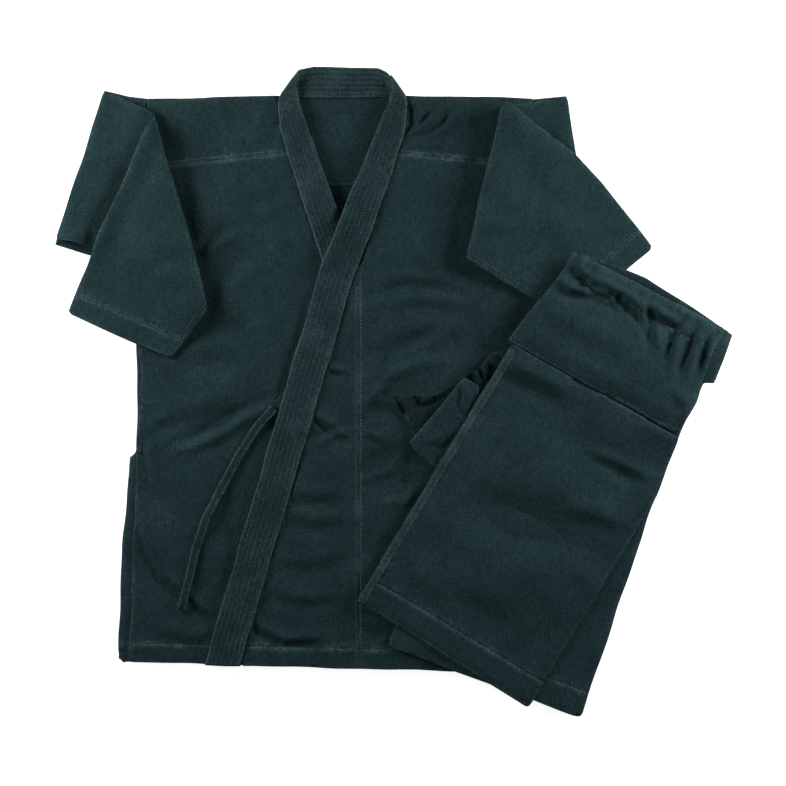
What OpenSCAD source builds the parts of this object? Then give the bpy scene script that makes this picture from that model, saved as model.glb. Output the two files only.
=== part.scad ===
// Martial arts uniform, laid flat and folded: a wrap jacket on its back with both sleeves
// folded in, and elastic-waist trousers folded on top. Sides are named as the wearer's.
// Every piece is one ply of cloth at a level of the stack, +Z up, +Y toward the collar.

/* [Cloth] */
// Thickness of one ply with its nap
cloth_t = 1.1; // [0.8:0.1:1.6]
// Air left between two plies
ply_gap = 0.3; // [0.2:0.1:0.6]

/* [Jacket] */
// Length from the shoulder line to the hem
jacket_l = 800; // [700:10:900]
// Width between the two shoulder seams
shoulder_w = 538; // [500:2:600]
// Width across the chest at the armpits
chest_w = 568; // [520:2:640]
// Width across the hem
hem_w = 620; // [560:2:700]
// Drop of the armpit below the shoulder line
armhole_l = 232; // [200:2:260]
// Height of the side vents
vent_l = 300; // [200:5:360]
// Depth of the front yokes at the centre line
yoke_l = 72; // [50:1:100]
// Depth of the back yoke
back_yoke_l = 126; // [90:2:160]
// Depth of the stitched hem
hem_turn = 28; // [20:1:40]
// Distance of the front seam from the centre line
seam_x = 28; // [24:1:34]

/* [Collar and lapels] */
// Width between the points where the lapels cross the shoulder line
neck_w = 176; // [160:1:190]
// Width of the lapel band
lapel_w = 48; // [40:1:58]
// Rise of the back collar above the shoulder line
collar_rise = 41; // [30:1:50]
// Depth of the neck's V below the shoulder line
v_depth = 166; // [140:2:190]
// Distance of the closed front's edge from the centre line at the hem
overlap_w = 189; // [150:1:230]
// Inset of the stiffening core from the band's edges
core_inset = 3; // [1:0.5:6]

/* [Sleeves] */
// Flat width of a cuff
cuff_w = 157; // [130:1:190]
// Depth of the stitched cuff
cuff_turn = 30; // [20:1:40]
// Length of the right sleeve's outer part along its upper edge
right_sleeve_l = 304; // [260:1:340]
// Length of the left sleeve's outer part along its upper edge
left_sleeve_l = 286; // [250:1:320]
// Reach of the folded sleeve beyond the right shoulder seam
right_fold_out = 60; // [40:1:80]
// Reach of the folded sleeve beyond the left shoulder seam
left_fold_out = 47; // [30:1:60]

/* [Tie] */
// Width of the tie
tie_w = 12; // [8:1:18]
// Side of the square stay that holds the tie
stay_w = 26; // [20:1:36]

/* [Trousers] */
// Flat width of a leg at its hem
leg_w = 281; // [240:1:320]
// Length of the leg that shows, from its hem to the lap
leg_l = 420; // [380:2:480]
// Length from the lap to the waist
seat_l = 155; // [130:1:190]
// Flat half width of the waist
waist_w = 246; // [220:1:262]
// Depth of the stitched leg hem
leg_hem = 37; // [25:1:50]
// Depth of the waist casing
casing_d = 34; // [28:1:42]
// Wall of the waist casing
casing_wall = 0.5; // [0.4:0.1:0.6]
// Width of the elastic
elastic_w = 25; // [20:1:26]
// Width of the felled outer seam
felled_w = 12; // [8:1:16]
// Turn of the upper leg from the jacket's centre line
trousers_turn = -31; // [-36:1:-26]
// Turn of the lower leg from the upper one
leg_spread = 10.5; // [8:0.5:13]

/* [Hidden] */

// Every piece repeats at this height
pitch = cloth_t + ply_gap;
// Cut between pieces of one level that move apart
ease = 0.4;
// Larger than any piece, for cutting outlines
far = 2000;

// The levels of the stack
BACK = 0;
YOKE = 1;
RIGHT_FRONT = 2;
TIE = 3;
LEFT_FRONT = 5;
RIGHT_FOLD = 3;
RIGHT_END = 5;
LEFT_FOLD = 6;
LEFT_END = 8;
RIGHT_LEG = 10;
LEFT_LEG = 12;
THIGH_LEFT = 14;
THIGH_RIGHT = 16;
SEAT_RIGHT = 18;
SEAT_LEFT = 20;

function turned(p, a) = [p.x * cos(a) - p.y * sin(a), p.x * sin(a) + p.y * cos(a)];
function placed(pts, at, a) = [for (p = pts) at + turned(p, a)];
function backwards(pts) = [for (i = [len(pts) - 1:-1:0]) pts[i]];
function unit(v) = v / norm(v);
function along(pts, i) = unit(pts[min(i + 1, len(pts) - 1)] - pts[max(i - 1, 0)]);
// A line moved sideways, to the left of the way it runs
function beside(pts, d) = [for (i = [0:len(pts) - 1])
    pts[i] + d * [-along(pts, i).y, along(pts, i).x]];
function band(pts, d0, d1) = concat(beside(pts, d0), backwards(beside(pts, d1)));

// The jacket's outline. Its centre line is X 0 and its shoulder line is Y 0.
// Fall of the hem and of the yoke seams, in millimetres per millimetre
hem_slope = 0.026;
yoke_slope = 0.1;
// How far the front's vent edge lies inside the back's
vent_ease = 15;
function hem_y(x) = -jacket_l - hem_slope * x;
armpit = [chest_w / 2, -armhole_l];
shoulder = [shoulder_w / 2, -4];
vent_y = -jacket_l + vent_l;
// How far the right side pulls in above its vent, and the back shows below it
waist_in = 6;
vent_peek = 10;
hem_corner = [hem_w / 2, -jacket_l];
back_outline = [
    [-neck_w / 2 + 8, 0], [-shoulder.x, shoulder.y], [-armpit.x, armpit.y],
    [-armpit.x + waist_in, (vent_y + armpit.y) / 2 - 30], [-armpit.x, vent_y],
    [-armpit.x - vent_peek, vent_y - 4], [-hem_corner.x + 3, vent_y - vent_l * 0.55],
    [-hem_corner.x, hem_y(-hem_corner.x)],
    [hem_corner.x, hem_y(hem_corner.x)], [armpit.x, vent_y], armpit,
    shoulder, [neck_w / 2 - 8, 0]
];

// The closed front's edge, from the shoulder line down to the hem
neck_in = neck_w / 2 - 15;
v_point = [3, -v_depth];
flap_top = -v_depth - 72;
left_edge = [
    [neck_in, 2], [neck_in - 13, -29], v_point, [v_point.x - 27, -v_depth - 66],
    [v_point.x - 59, -v_depth - 175], [-overlap_w, hem_y(-overlap_w)]
];
left_seam = beside(left_edge, lapel_w);
left_collar_band = concat(
    [[neck_in, 2], [neck_in + 1, collar_rise - 18], [neck_w / 2 - 14, collar_rise - 16],
        [neck_w / 2, 2], [neck_w / 2 + 3, -52]],
    [for (i = [2:len(left_seam) - 1]) left_seam[i]],
    backwards([for (i = [1:len(left_edge) - 1]) left_edge[i]])
);

// The covered front's edge mirrors the other near the neck
right_edge = [
    [-neck_in + 16, 2], [-neck_in + 24, -33], [v_point.x - 3, v_point.y],
    [v_point.x + 38, -v_depth - 110], [overlap_w * 0.6, hem_y(0) + hem_turn + 20]
];
right_band = concat(
    [[-neck_in + 14, collar_rise - 16], [-neck_w / 2 + 15, collar_rise - 23],
        [-neck_w / 2, 2]],
    [[-neck_w / 2 + 4, -45], [v_point.x - 56, v_point.y + 18]],
    [for (i = [3:len(right_edge) - 1]) beside(right_edge, -lapel_w)[i]],
    backwards(right_edge)
);
back_collar_outline = [
    [-neck_in + 16, 1], [-neck_in + 14, collar_rise - 15], [-neck_w / 2 + 17, collar_rise - 22],
    [-54, collar_rise - 6], [-45, collar_rise - 1], [-32, collar_rise],
    [49, collar_rise - 2], [60, collar_rise - 7], [neck_in, collar_rise - 17],
    [neck_in - 2, 1], [neck_in - 12, -3], [-neck_in + 26, -3]
];

// The right sleeve: its end part has its own frame, from the cuff's outer corner
right_cuff_at = [-379, -305];
right_sleeve_turn = -23.5;
right_end_outline = [
    [0, 0], [cuff_w, 0], [cuff_w + 21, 82], [cuff_w + 6, 106], [0, right_sleeve_l],
    [-5, right_sleeve_l * 0.4]
];
right_crease = placed([[0, right_sleeve_l], [cuff_w + 6, 106]], right_cuff_at, right_sleeve_turn);
right_fold_top = [-shoulder.x - right_fold_out, 7];
right_fold_low = right_fold_top + [-70, -215];
right_top_outline = [
    [-shoulder.x - ease, shoulder.y], [-shoulder.x - 28, -1], right_fold_top, right_fold_low,
    right_fold_low + [46, -14], [-armpit.x - ease, armpit.y]
];
right_fold_outline = [
    right_fold_top, right_fold_low, right_fold_low + [46, -14],
    right_crease[1] + [-36, 26], right_crease[1] + [-ease, ease], right_crease[0] + [-1, 1]
];

// The left sleeve, with its frame at the cuff's outer corner and its cuff running back
left_cuff_at = [436, -213];
left_sleeve_turn = 221;
function flipped(pts) = [for (p = pts) [p.x, -p.y]];
left_end_outline = [
    [0, 0], [cuff_w, 0], [cuff_w + 17, 58], [cuff_w + 51, 159], [32, left_sleeve_l],
    [20, left_sleeve_l - 2], [-4, left_sleeve_l * 0.6], [-7, left_sleeve_l * 0.4]
];
left_end = placed(flipped(left_end_outline), left_cuff_at, left_sleeve_turn);
left_crease = [left_end[4], left_end[3]];
left_fold_top = [shoulder.x + left_fold_out, 0];
left_fold_low = left_fold_top + [37, -220];
left_top_outline = [
    [shoulder.x + ease, shoulder.y], left_fold_top, left_fold_top + [16, -93], left_fold_low,
    [armpit.x + ease, armpit.y]
];
left_fold_outline = [
    left_crease[0] + [4, 1], left_fold_top, left_fold_top + [16, -93], left_fold_low,
    left_crease[1] + [88, -46], left_crease[1] + [5, 0]
];

// The tie's middle line, from its root on the front's edge to its free end
tie_line = [
    [-92, -437], [-115, -462], [-140, -501], [-168, -554],
    [-187, -591], [-201, -635], [-215, -694], [-221, -719]
];
tie_root_l = 24;

// The trousers' outline, with its frame at the upper leg's inner hem corner
trousers_at = [24, -705];
top_v = leg_l + seat_l;
hip_w = leg_w - 21;
lap_in = -8;
knee_v = 336;
function over(pts) = placed(pts, trousers_at, trousers_turn);
right_hem_in = [69, -32];
right_hem_out = right_hem_in + turned([leg_w + 6, 0], leg_spread);
right_leg_outline = [
    right_hem_in, right_hem_out, [leg_w + 2, knee_v], [hip_w, top_v - 105],
    [waist_w + 6, top_v - 5], [19, top_v - 5], [5, leg_l], [5, leg_l - 110]
];
left_leg_outline = [[0, 0], [leg_w, -5], [leg_w + 2, knee_v], [hip_w + 6, leg_l + 6], [0, leg_l - 3]];
thigh_outline = [
    [0, leg_l - 3 + ease], [hip_w + 6, leg_l + 6 + ease], [hip_w, top_v - 105],
    [waist_w + 4, top_v - 3], [19, top_v - 3]
];
seat_outline = [
    [lap_in, leg_l - 2], [hip_w + 2, leg_l + 9], [hip_w, top_v - 96],
    [waist_w - 3, top_v - casing_d + 12], [8, top_v - casing_d - 3], [3, top_v - 65]
];
casing_outline = [
    [8, top_v - casing_d - 3], [waist_w - 3, top_v - casing_d + 12],
    [waist_w - 3, top_v + 12], [8, top_v - 3]
];
tab_v = top_v - 68;
under_seat_outline = [
    [lap_in + 4, leg_l], [hip_w, leg_l + 10], [hip_w - 8, tab_v], [waist_w + 23, tab_v + 8],
    [waist_w + 17, top_v - casing_d + 12], [15, top_v - casing_d - 3]
];
under_casing_outline = [
    [15, top_v - casing_d - 3], [waist_w + 17, top_v - casing_d + 12],
    [waist_w + 9, top_v + 12], [leg_w * 0.4, top_v + 17], [18, top_v]
];
gusset_outline = [
    [-110, 266], [-79, 250], [-51, 235], [4, 215], [4, 400], [-19, 392], [-21, 364], [-57, 307]
];

// The uniform's box, so that its origin is at the bottom centre
x_low = right_fold_low.x;
x_high = over(under_casing_outline)[2].x;
y_low = over([right_hem_out])[0].y;
y_high = collar_rise;
middle = [(x_low + x_high) / 2, (y_low + y_high) / 2];

module ply(level, plies = 1) {
    translate([-middle.x, -middle.y, level * pitch])
        linear_extrude(height = (plies - 1) * pitch + cloth_t) children();
}

module dyed() {
    color("#24393c") children();
}

module band_core() {
    color("#6f7a78") children();
}

module above(y) {
    translate([-far / 2, y]) square(far);
}

// Everything below a line that falls away from the middle by one slope on each side
module below_line(y, left_slope, right_slope) {
    polygon([[-far, y - left_slope * far], [0, y], [far, y - right_slope * far],
        [far, -far], [-far, -far]]);
}

module hem_zone(turn) {
    below_line(-jacket_l + turn, -hem_slope, hem_slope);
}

module yoke_zone() {
    difference() {
        above(-far / 2);
        below_line(-yoke_l, yoke_slope, yoke_slope);
    }
}

// Back of the jacket
module back_panel() {
    dyed() ply(BACK) difference() {
        polygon(back_outline);
        hem_zone(hem_turn);
    }
}

module back_hem() {
    dyed() ply(BACK) intersection() {
        polygon(back_outline);
        hem_zone(hem_turn);
    }
}

module back_yoke() {
    dyed() ply(YOKE) intersection() {
        polygon(back_outline);
        above(-back_yoke_l);
    }
}

module side_seam(side, levels) {
    seam_w = 8;
    dyed() ply(YOKE, levels) polygon([
        [side * armpit.x, armpit.y - 6], [side * (armpit.x - seam_w), armpit.y - 6],
        [side * (armpit.x - seam_w), vent_y], [side * armpit.x, vent_y]
    ]);
}

module right_side_seam() {
    side_seam(-1, 1);
}

module left_side_seam() {
    side_seam(1, LEFT_FRONT - YOKE);
}

// Covered front
module right_front_shape() {
    difference() {
        polygon(concat(
            [[-neck_w / 2, 0], [-shoulder.x, shoulder.y], [-armpit.x, armpit.y],
                [-armpit.x + waist_in, (vent_y + armpit.y) / 2 - 30],
                [-armpit.x, vent_y], [-hem_corner.x + vent_ease, hem_y(-hem_corner.x)]],
            [[right_edge[4].x, hem_y(right_edge[4].x)], right_edge[4]],
            backwards([for (i = [0:3]) right_edge[i]])
        ));
        polygon(right_band);
    }
}

module right_front_panel() {
    dyed() ply(RIGHT_FRONT) difference() {
        right_front_shape();
        yoke_zone();
        hem_zone(hem_turn);
    }
}

module right_front_yoke() {
    dyed() ply(RIGHT_FRONT) intersection() {
        right_front_shape();
        yoke_zone();
    }
}

module right_front_hem() {
    dyed() ply(RIGHT_FRONT) intersection() {
        right_front_shape();
        hem_zone(hem_turn);
    }
}

// Closed front
module left_front_shape() {
    seam_top = left_seam[2];
    polygon(concat(
        [[neck_w / 2, 0], shoulder, armpit, [armpit.x, vent_y],
            [hem_corner.x, hem_y(hem_corner.x)], [seam_x, hem_y(seam_x)], [seam_x, flap_top]],
        [[seam_x + 1, flap_top + 1], seam_top, [neck_w / 2 + 3, -52]]
    ));
}

module left_front_panel() {
    dyed() ply(LEFT_FRONT) difference() {
        left_front_shape();
        polygon(left_collar_band);
        yoke_zone();
        hem_zone(hem_turn);
    }
}

module left_front_yoke() {
    dyed() ply(LEFT_FRONT) intersection() {
        difference() {
            left_front_shape();
            polygon(left_collar_band);
        }
        yoke_zone();
    }
}

module left_front_hem() {
    dyed() ply(LEFT_FRONT) intersection() {
        left_front_shape();
        hem_zone(hem_turn);
    }
}

module overlap_shape() {
    difference() {
        polygon([[seam_x - ease, flap_top - ease], [seam_x - ease, hem_y(seam_x)],
            [-overlap_w, hem_y(-overlap_w)], [-overlap_w, flap_top - ease]]);
        polygon(left_collar_band);
        polygon(concat(left_edge, [[-far, hem_y(-far)], [-far, 0]]));
    }
}

module overlap_panel() {
    dyed() ply(LEFT_FRONT) difference() {
        overlap_shape();
        hem_zone(hem_turn);
    }
}

module overlap_hem() {
    dyed() ply(LEFT_FRONT) intersection() {
        overlap_shape();
        hem_zone(hem_turn);
    }
}

// Collar and lapels: a facing, a stiffening core and a face
module back_collar_facing() {
    dyed() ply(RIGHT_FRONT) polygon(back_collar_outline);
}

module back_collar_core() {
    band_core() ply(RIGHT_FRONT + 1) offset(delta = -core_inset) polygon(back_collar_outline);
}

module back_collar_face() {
    dyed() ply(RIGHT_FRONT + 2) polygon(back_collar_outline);
}

module right_lapel_facing() {
    dyed() ply(RIGHT_FRONT) right_lapel_shape();
}

module right_lapel_core() {
    band_core() ply(RIGHT_FRONT + 1) offset(delta = -core_inset) right_lapel_shape();
}

module right_lapel_face() {
    dyed() ply(RIGHT_FRONT + 2) right_lapel_shape();
}

module right_lapel_shape() {
    difference() {
        polygon(right_band);
        polygon(back_collar_outline);
    }
}

module left_collar_shape() {
    intersection() {
        polygon(left_collar_band);
        above(flap_top);
    }
}

module left_collar_facing() {
    dyed() ply(LEFT_FRONT) left_collar_shape();
}

module left_collar_core() {
    band_core() ply(LEFT_FRONT + 1) offset(delta = -core_inset) left_collar_shape();
}

module left_collar_face() {
    dyed() ply(LEFT_FRONT + 2) left_collar_shape();
}

module left_lapel_shape() {
    difference() {
        polygon(left_collar_band);
        above(flap_top - ease);
        hem_zone(0);
    }
}

module left_lapel_facing() {
    dyed() ply(LEFT_FRONT) left_lapel_shape();
}

module left_lapel_core() {
    band_core() ply(LEFT_FRONT + 1) offset(delta = -core_inset) left_lapel_shape();
}

module left_lapel_face() {
    dyed() ply(LEFT_FRONT + 2) left_lapel_shape();
}

// Tie and the stay that its root is sewn to
module front_tie() {
    dyed() ply(TIE) polygon(band(tie_line, -tie_w / 2, tie_w / 2));
}

module tie_stay() {
    way = along(tie_line, 0);
    root = [tie_line[0] - way * (tie_root_l + 4), tie_line[0] - way * ease];
    dyed() ply(TIE, 2) {
        polygon(band(root, -tie_w / 2, tie_w / 2));
        translate(root[0] - [0, stay_w / 2]) square(stay_w);
    }
}

// Right sleeve
module cuff_zone(deep) {
    translate([-far / 2, deep - far]) square(far);
}

module right_end_shape(cuff) {
    translate(right_cuff_at) rotate(right_sleeve_turn) part_of_end(right_end_outline, cuff);
}

module part_of_end(outline, cuff) {
    if (cuff) {
        intersection() {
            polygon(outline);
            cuff_zone(cuff_turn);
        }
    } else {
        difference() {
            polygon(outline);
            cuff_zone(cuff_turn);
        }
    }
}

module right_sleeve_top_back() {
    dyed() ply(BACK) polygon(right_top_outline);
}

module right_sleeve_top_front() {
    dyed() ply(YOKE) polygon(right_top_outline);
}

module right_sleeve_fold_back() {
    dyed() ply(RIGHT_FOLD) polygon(right_fold_outline);
}

module right_sleeve_fold_front() {
    dyed() ply(RIGHT_FOLD + 1) polygon(right_fold_outline);
}

module right_sleeve_end_back() {
    dyed() ply(RIGHT_END) right_end_shape(false);
}

module right_sleeve_end_front() {
    dyed() ply(RIGHT_END + 1) right_end_shape(false);
}

module right_cuff() {
    dyed() for (level = [RIGHT_END:RIGHT_END + 1]) ply(level) right_end_shape(true);
}

// Left sleeve
module left_end_shape(cuff) {
    translate(left_cuff_at) rotate(left_sleeve_turn) mirror([0, 1])
        part_of_end(left_end_outline, cuff);
}

module left_sleeve_top_back() {
    dyed() ply(BACK) polygon(left_top_outline);
}

module left_sleeve_top_front() {
    dyed() ply(YOKE) polygon(left_top_outline);
}

module left_sleeve_fold_back() {
    dyed() ply(LEFT_FOLD) polygon(left_fold_outline);
}

module left_sleeve_fold_front() {
    dyed() ply(LEFT_FOLD + 1) polygon(left_fold_outline);
}

module left_sleeve_end_back() {
    dyed() ply(LEFT_END) left_end_shape(false);
}

module left_sleeve_end_front() {
    dyed() ply(LEFT_END + 1) left_end_shape(false);
}

module left_cuff() {
    dyed() for (level = [LEFT_END:LEFT_END + 1]) ply(level) left_end_shape(true);
}

// Trousers: legs
module right_hem_zone() {
    polygon(over([
        right_hem_in + turned([-far, leg_hem], leg_spread),
        right_hem_in + turned([-far, -far], leg_spread),
        right_hem_in + turned([far, -far], leg_spread),
        right_hem_in + turned([far, leg_hem], leg_spread)
    ]));
}

module right_leg_shape() {
    difference() {
        polygon(over(right_leg_outline));
        right_hem_zone();
    }
}

module right_leg_back() {
    dyed() ply(RIGHT_LEG) right_leg_shape();
}

module right_leg_front() {
    dyed() ply(RIGHT_LEG + 1) right_leg_shape();
}

module right_leg_hem() {
    dyed() for (level = [RIGHT_LEG:RIGHT_LEG + 1]) ply(level) intersection() {
        polygon(over(right_leg_outline));
        right_hem_zone();
    }
}

module crotch_gusset() {
    dyed() ply(RIGHT_LEG, 2) polygon(over(gusset_outline));
}

module left_hem_zone() {
    polygon(over([[-far, leg_hem], [-far, -far], [far, -far], [far, leg_hem]]));
}

module left_leg_shape() {
    difference() {
        polygon(over(left_leg_outline));
        left_hem_zone();
    }
}

module left_leg_back() {
    dyed() ply(LEFT_LEG) left_leg_shape();
}

module left_leg_front() {
    dyed() ply(LEFT_LEG + 1) left_leg_shape();
}

module left_leg_hem() {
    dyed() for (level = [LEFT_LEG:LEFT_LEG + 1]) ply(level) intersection() {
        polygon(over(left_leg_outline));
        left_hem_zone();
    }
}

module left_leg_seam() {
    clear_of_lap = 8;
    dyed() ply(THIGH_LEFT) polygon(over([
        [0, 0], [felled_w, 0], [felled_w, leg_l - clear_of_lap], [0, leg_l - clear_of_lap]
    ]));
}

// Trousers: the thighs, folded back between the legs and the seat
module left_thigh_fold() {
    dyed() for (level = [LEFT_LEG:THIGH_LEFT + 1]) ply(level) polygon(over(thigh_outline));
}

module right_thigh_fold() {
    dyed() for (level = [THIGH_RIGHT:THIGH_RIGHT + 1]) ply(level) polygon(over(thigh_outline));
}

// Trousers: the seat
module right_seat_back() {
    dyed() ply(SEAT_RIGHT) polygon(over(under_seat_outline));
}

module right_seat_front() {
    dyed() ply(SEAT_RIGHT + 1) polygon(over(under_seat_outline));
}

module left_seat_back() {
    dyed() ply(SEAT_LEFT) polygon(over(seat_outline));
}

module left_seat_front() {
    dyed() ply(SEAT_LEFT + 1) polygon(over(seat_outline));
}

// The waist casing is a closed tube, and its elastic lies inside
module casing(level, outline) {
    tall = pitch + cloth_t;
    difference() {
        ply(level, 2) polygon(outline);
        translate([-middle.x, -middle.y, level * pitch + casing_wall])
            linear_extrude(height = tall - 2 * casing_wall)
            offset(delta = -casing_wall - 1) polygon(outline);
    }
}

module elastic(level, outline) {
    clearance = 0.3;
    tall = pitch + cloth_t - 2 * (casing_wall + clearance);
    inset = (casing_d - elastic_w) / 2;
    translate([-middle.x, -middle.y, level * pitch + casing_wall + clearance])
        linear_extrude(height = tall) offset(delta = -inset) polygon(outline);
}

module right_waist_casing() {
    dyed() casing(SEAT_RIGHT, over(under_casing_outline));
}

module left_waist_casing() {
    dyed() casing(SEAT_LEFT, over(casing_outline));
}

module right_elastic() {
    color("#e8e6dd") elastic(SEAT_RIGHT, over(under_casing_outline));
}

module left_elastic() {
    color("#e8e6dd") elastic(SEAT_LEFT, over(casing_outline));
}

back_panel();
back_hem();
back_yoke();
right_side_seam();
left_side_seam();
right_front_panel();
right_front_yoke();
right_front_hem();
left_front_panel();
left_front_yoke();
left_front_hem();
overlap_panel();
overlap_hem();
back_collar_facing();
back_collar_core();
back_collar_face();
right_lapel_facing();
right_lapel_core();
right_lapel_face();
left_collar_facing();
left_collar_core();
left_collar_face();
left_lapel_facing();
left_lapel_core();
left_lapel_face();
front_tie();
tie_stay();
right_sleeve_top_back();
right_sleeve_top_front();
right_sleeve_fold_back();
right_sleeve_fold_front();
right_sleeve_end_back();
right_sleeve_end_front();
right_cuff();
left_sleeve_top_back();
left_sleeve_top_front();
left_sleeve_fold_back();
left_sleeve_fold_front();
left_sleeve_end_back();
left_sleeve_end_front();
left_cuff();
right_leg_back();
right_leg_front();
right_leg_hem();
crotch_gusset();
left_leg_back();
left_leg_front();
left_leg_hem();
left_leg_seam();
left_thigh_fold();
right_thigh_fold();
right_seat_back();
right_seat_front();
left_seat_back();
left_seat_front();
right_waist_casing();
left_waist_casing();
right_elastic();
left_elastic();
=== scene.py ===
"""A martial arts uniform laid flat: a wrap jacket with folded sleeves under folded trousers.

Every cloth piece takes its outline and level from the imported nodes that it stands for, and gets
its thickness, rolled edges, creases, seams and stitches here. Lengths in the classes are in
millimetres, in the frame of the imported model.
"""

import logging
import math
from dataclasses import dataclass, field
from enum import Enum
from typing import Sequence

import bmesh
import bpy
import numpy as np
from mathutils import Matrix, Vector
from mathutils.bvhtree import BVHTree
from mathutils.geometry import delaunay_2d_cdt


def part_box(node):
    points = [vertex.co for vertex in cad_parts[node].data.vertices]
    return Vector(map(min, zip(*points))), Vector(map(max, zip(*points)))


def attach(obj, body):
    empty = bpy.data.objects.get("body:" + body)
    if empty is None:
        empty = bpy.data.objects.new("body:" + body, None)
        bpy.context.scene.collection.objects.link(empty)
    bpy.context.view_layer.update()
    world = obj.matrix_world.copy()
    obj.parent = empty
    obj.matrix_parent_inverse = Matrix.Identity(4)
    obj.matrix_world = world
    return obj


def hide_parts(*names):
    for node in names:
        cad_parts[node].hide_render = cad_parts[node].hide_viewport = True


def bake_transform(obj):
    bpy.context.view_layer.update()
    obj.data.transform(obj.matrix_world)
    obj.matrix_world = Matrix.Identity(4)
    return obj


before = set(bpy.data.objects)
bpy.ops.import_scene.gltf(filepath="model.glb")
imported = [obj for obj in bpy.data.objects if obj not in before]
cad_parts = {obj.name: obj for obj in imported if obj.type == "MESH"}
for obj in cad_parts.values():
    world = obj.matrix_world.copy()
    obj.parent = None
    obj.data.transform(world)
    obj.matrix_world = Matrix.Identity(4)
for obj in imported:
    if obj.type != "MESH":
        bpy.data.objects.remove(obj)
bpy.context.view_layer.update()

LOG = logging.getLogger("uniform")
MM = 0.001
Points = np.ndarray


# ---------------------------------------------------------------- small helpers


def linear(hex_colour: str) -> tuple[float, float, float, float]:
    """Turns an sRGB hex colour into linear RGBA.

    Args:
        hex_colour: such as "#1f3032".

    Returns:
        The four linear channels, with alpha 1.
    """
    channels = [int(hex_colour[i : i + 2], 16) / 255 for i in (1, 3, 5)]
    bent = [c / 12.92 if c <= 0.04045 else ((c + 0.055) / 1.055) ** 2.4 for c in channels]
    return (bent[0], bent[1], bent[2], 1.0)


def add_node(
    tree: bpy.types.NodeTree,
    kind: str,
    settings: dict[str, object] | None = None,
    links: dict[object, bpy.types.NodeSocket] | None = None,
) -> bpy.types.Node:
    """Adds a shader node with its settings and links.

    Args:
        tree: the material's node tree.
        kind: the node's type name.
        settings: attributes by name, or input values by "in:NAME" or "in:NUMBER".
        links: the sockets that feed the node's inputs, by input name or number.

    Returns:
        The new node.
    """
    node = tree.nodes.new(kind)
    for name, value in (settings or {}).items():
        if name.startswith("in:"):
            key = name[3:]
            node.inputs[int(key) if key.isdigit() else key].default_value = value
        else:
            setattr(node, name, value)
    for key, socket in (links or {}).items():
        tree.links.new(socket, node.inputs[key])
    return node


def bare_tree(owner: bpy.types.Material | bpy.types.World) -> bpy.types.NodeTree:
    """Turns on a material's or a world's nodes, and empties them.

    Args:
        owner: the new material or world.

    Returns:
        Its empty node tree.
    """
    owner.use_nodes = True
    owner.node_tree.nodes.clear()
    return owner.node_tree


def background_rays(tree: bpy.types.NodeTree) -> bpy.types.NodeSocket:
    """Tells the rays that see the background from those that light the object.

    Args:
        tree: the node tree of the floor or the world.

    Returns:
        A socket that is 1 for camera, mirror and see-through rays, and else 0.
    """
    rays = add_node(tree, "ShaderNodeLightPath").outputs
    seen = rays["Is Camera Ray"]
    for kind in ("Is Glossy Ray", "Is Transmission Ray"):
        seen = add_node(
            tree, "ShaderNodeMath", {"operation": "MAXIMUM"}, {0: seen, 1: rays[kind]}
        ).outputs[0]
    return seen


def ease(x: Points) -> Points:
    """Rises smoothly from 0 at x = 0 to 1 at x = 1."""
    x = np.clip(x, 0.0, 1.0)
    return x * x * (3 - 2 * x)


def nearest_on(points: Points, path: Points) -> tuple[Points, Points, Points]:
    """Measures points against a path.

    Args:
        points: an n by 2 array, in millimetres.
        path: an m by 2 array of the path's corners.

    Returns:
        The distance to the path, the side of it (positive on the left), and the share of
        the path's length at the nearest place.
    """
    best = np.full(len(points), 1e9)
    side = np.zeros(len(points))
    share = np.zeros(len(points))
    steps = np.linalg.norm(np.diff(path, axis=0), axis=1)
    total, run = max(steps.sum(), 1e-9), 0.0
    for a, b, step in zip(path[:-1], path[1:], steps):
        along = b - a
        offset = points - a
        t = np.clip(offset @ along / max(step * step, 1e-9), 0, 1)
        gap = np.linalg.norm(offset - t[:, None] * along, axis=1)
        closer = gap < best
        best = np.where(closer, gap, best)
        cross = along[0] * offset[:, 1] - along[1] * offset[:, 0]
        side = np.where(closer, np.sign(cross), side)
        share = np.where(closer, (run + t * step) / total, share)
        run += step
    return best, side, share


def closed(loop: Points) -> Points:
    """A loop's corners with the first one again at the end."""
    return np.vstack([loop, loop[:1]])


def long_edges(loop: Points, least: float) -> list[Points]:
    """A loop's edges that are longer than a given length.

    Args:
        loop: the loop's corners.
        least: the length, in millimetres.

    Returns:
        Each edge as its two ends.
    """
    edges = [np.array(e) for e in zip(loop, np.roll(loop, -1, axis=0))]
    return [e for e in edges if np.linalg.norm(e[1] - e[0]) > least]


def inside(points: Points, loop: Points) -> Points:
    """Tells which points lie inside a closed loop.

    Args:
        points: the places.
        loop: the loop's corners.

    Returns:
        True for each place inside.
    """
    x, y = points[:, 0], points[:, 1]
    found = np.zeros(len(points), bool)
    for (x0, y0), (x1, y1) in zip(loop, np.roll(loop, -1, axis=0)):
        crosses = (y0 > y) != (y1 > y)
        if crosses.any():
            found ^= crosses & (x < (x1 - x0) * (y - y0) / (y1 - y0 + 1e-12) + x0)
    return found


def resampled(path: Points, step: float) -> Points:
    """Puts points along a path, at its corners and no further apart than step.

    Args:
        path: the path's corners.
        step: the widest gap between points.

    Returns:
        The points in order.
    """
    found = [path[0]]
    for a, b in zip(path[:-1], path[1:]):
        count = max(1, int(math.ceil(np.linalg.norm(b - a) / step)))
        found += [a + (b - a) * (i + 1) / count for i in range(count)]
    return np.array(found)


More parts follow.
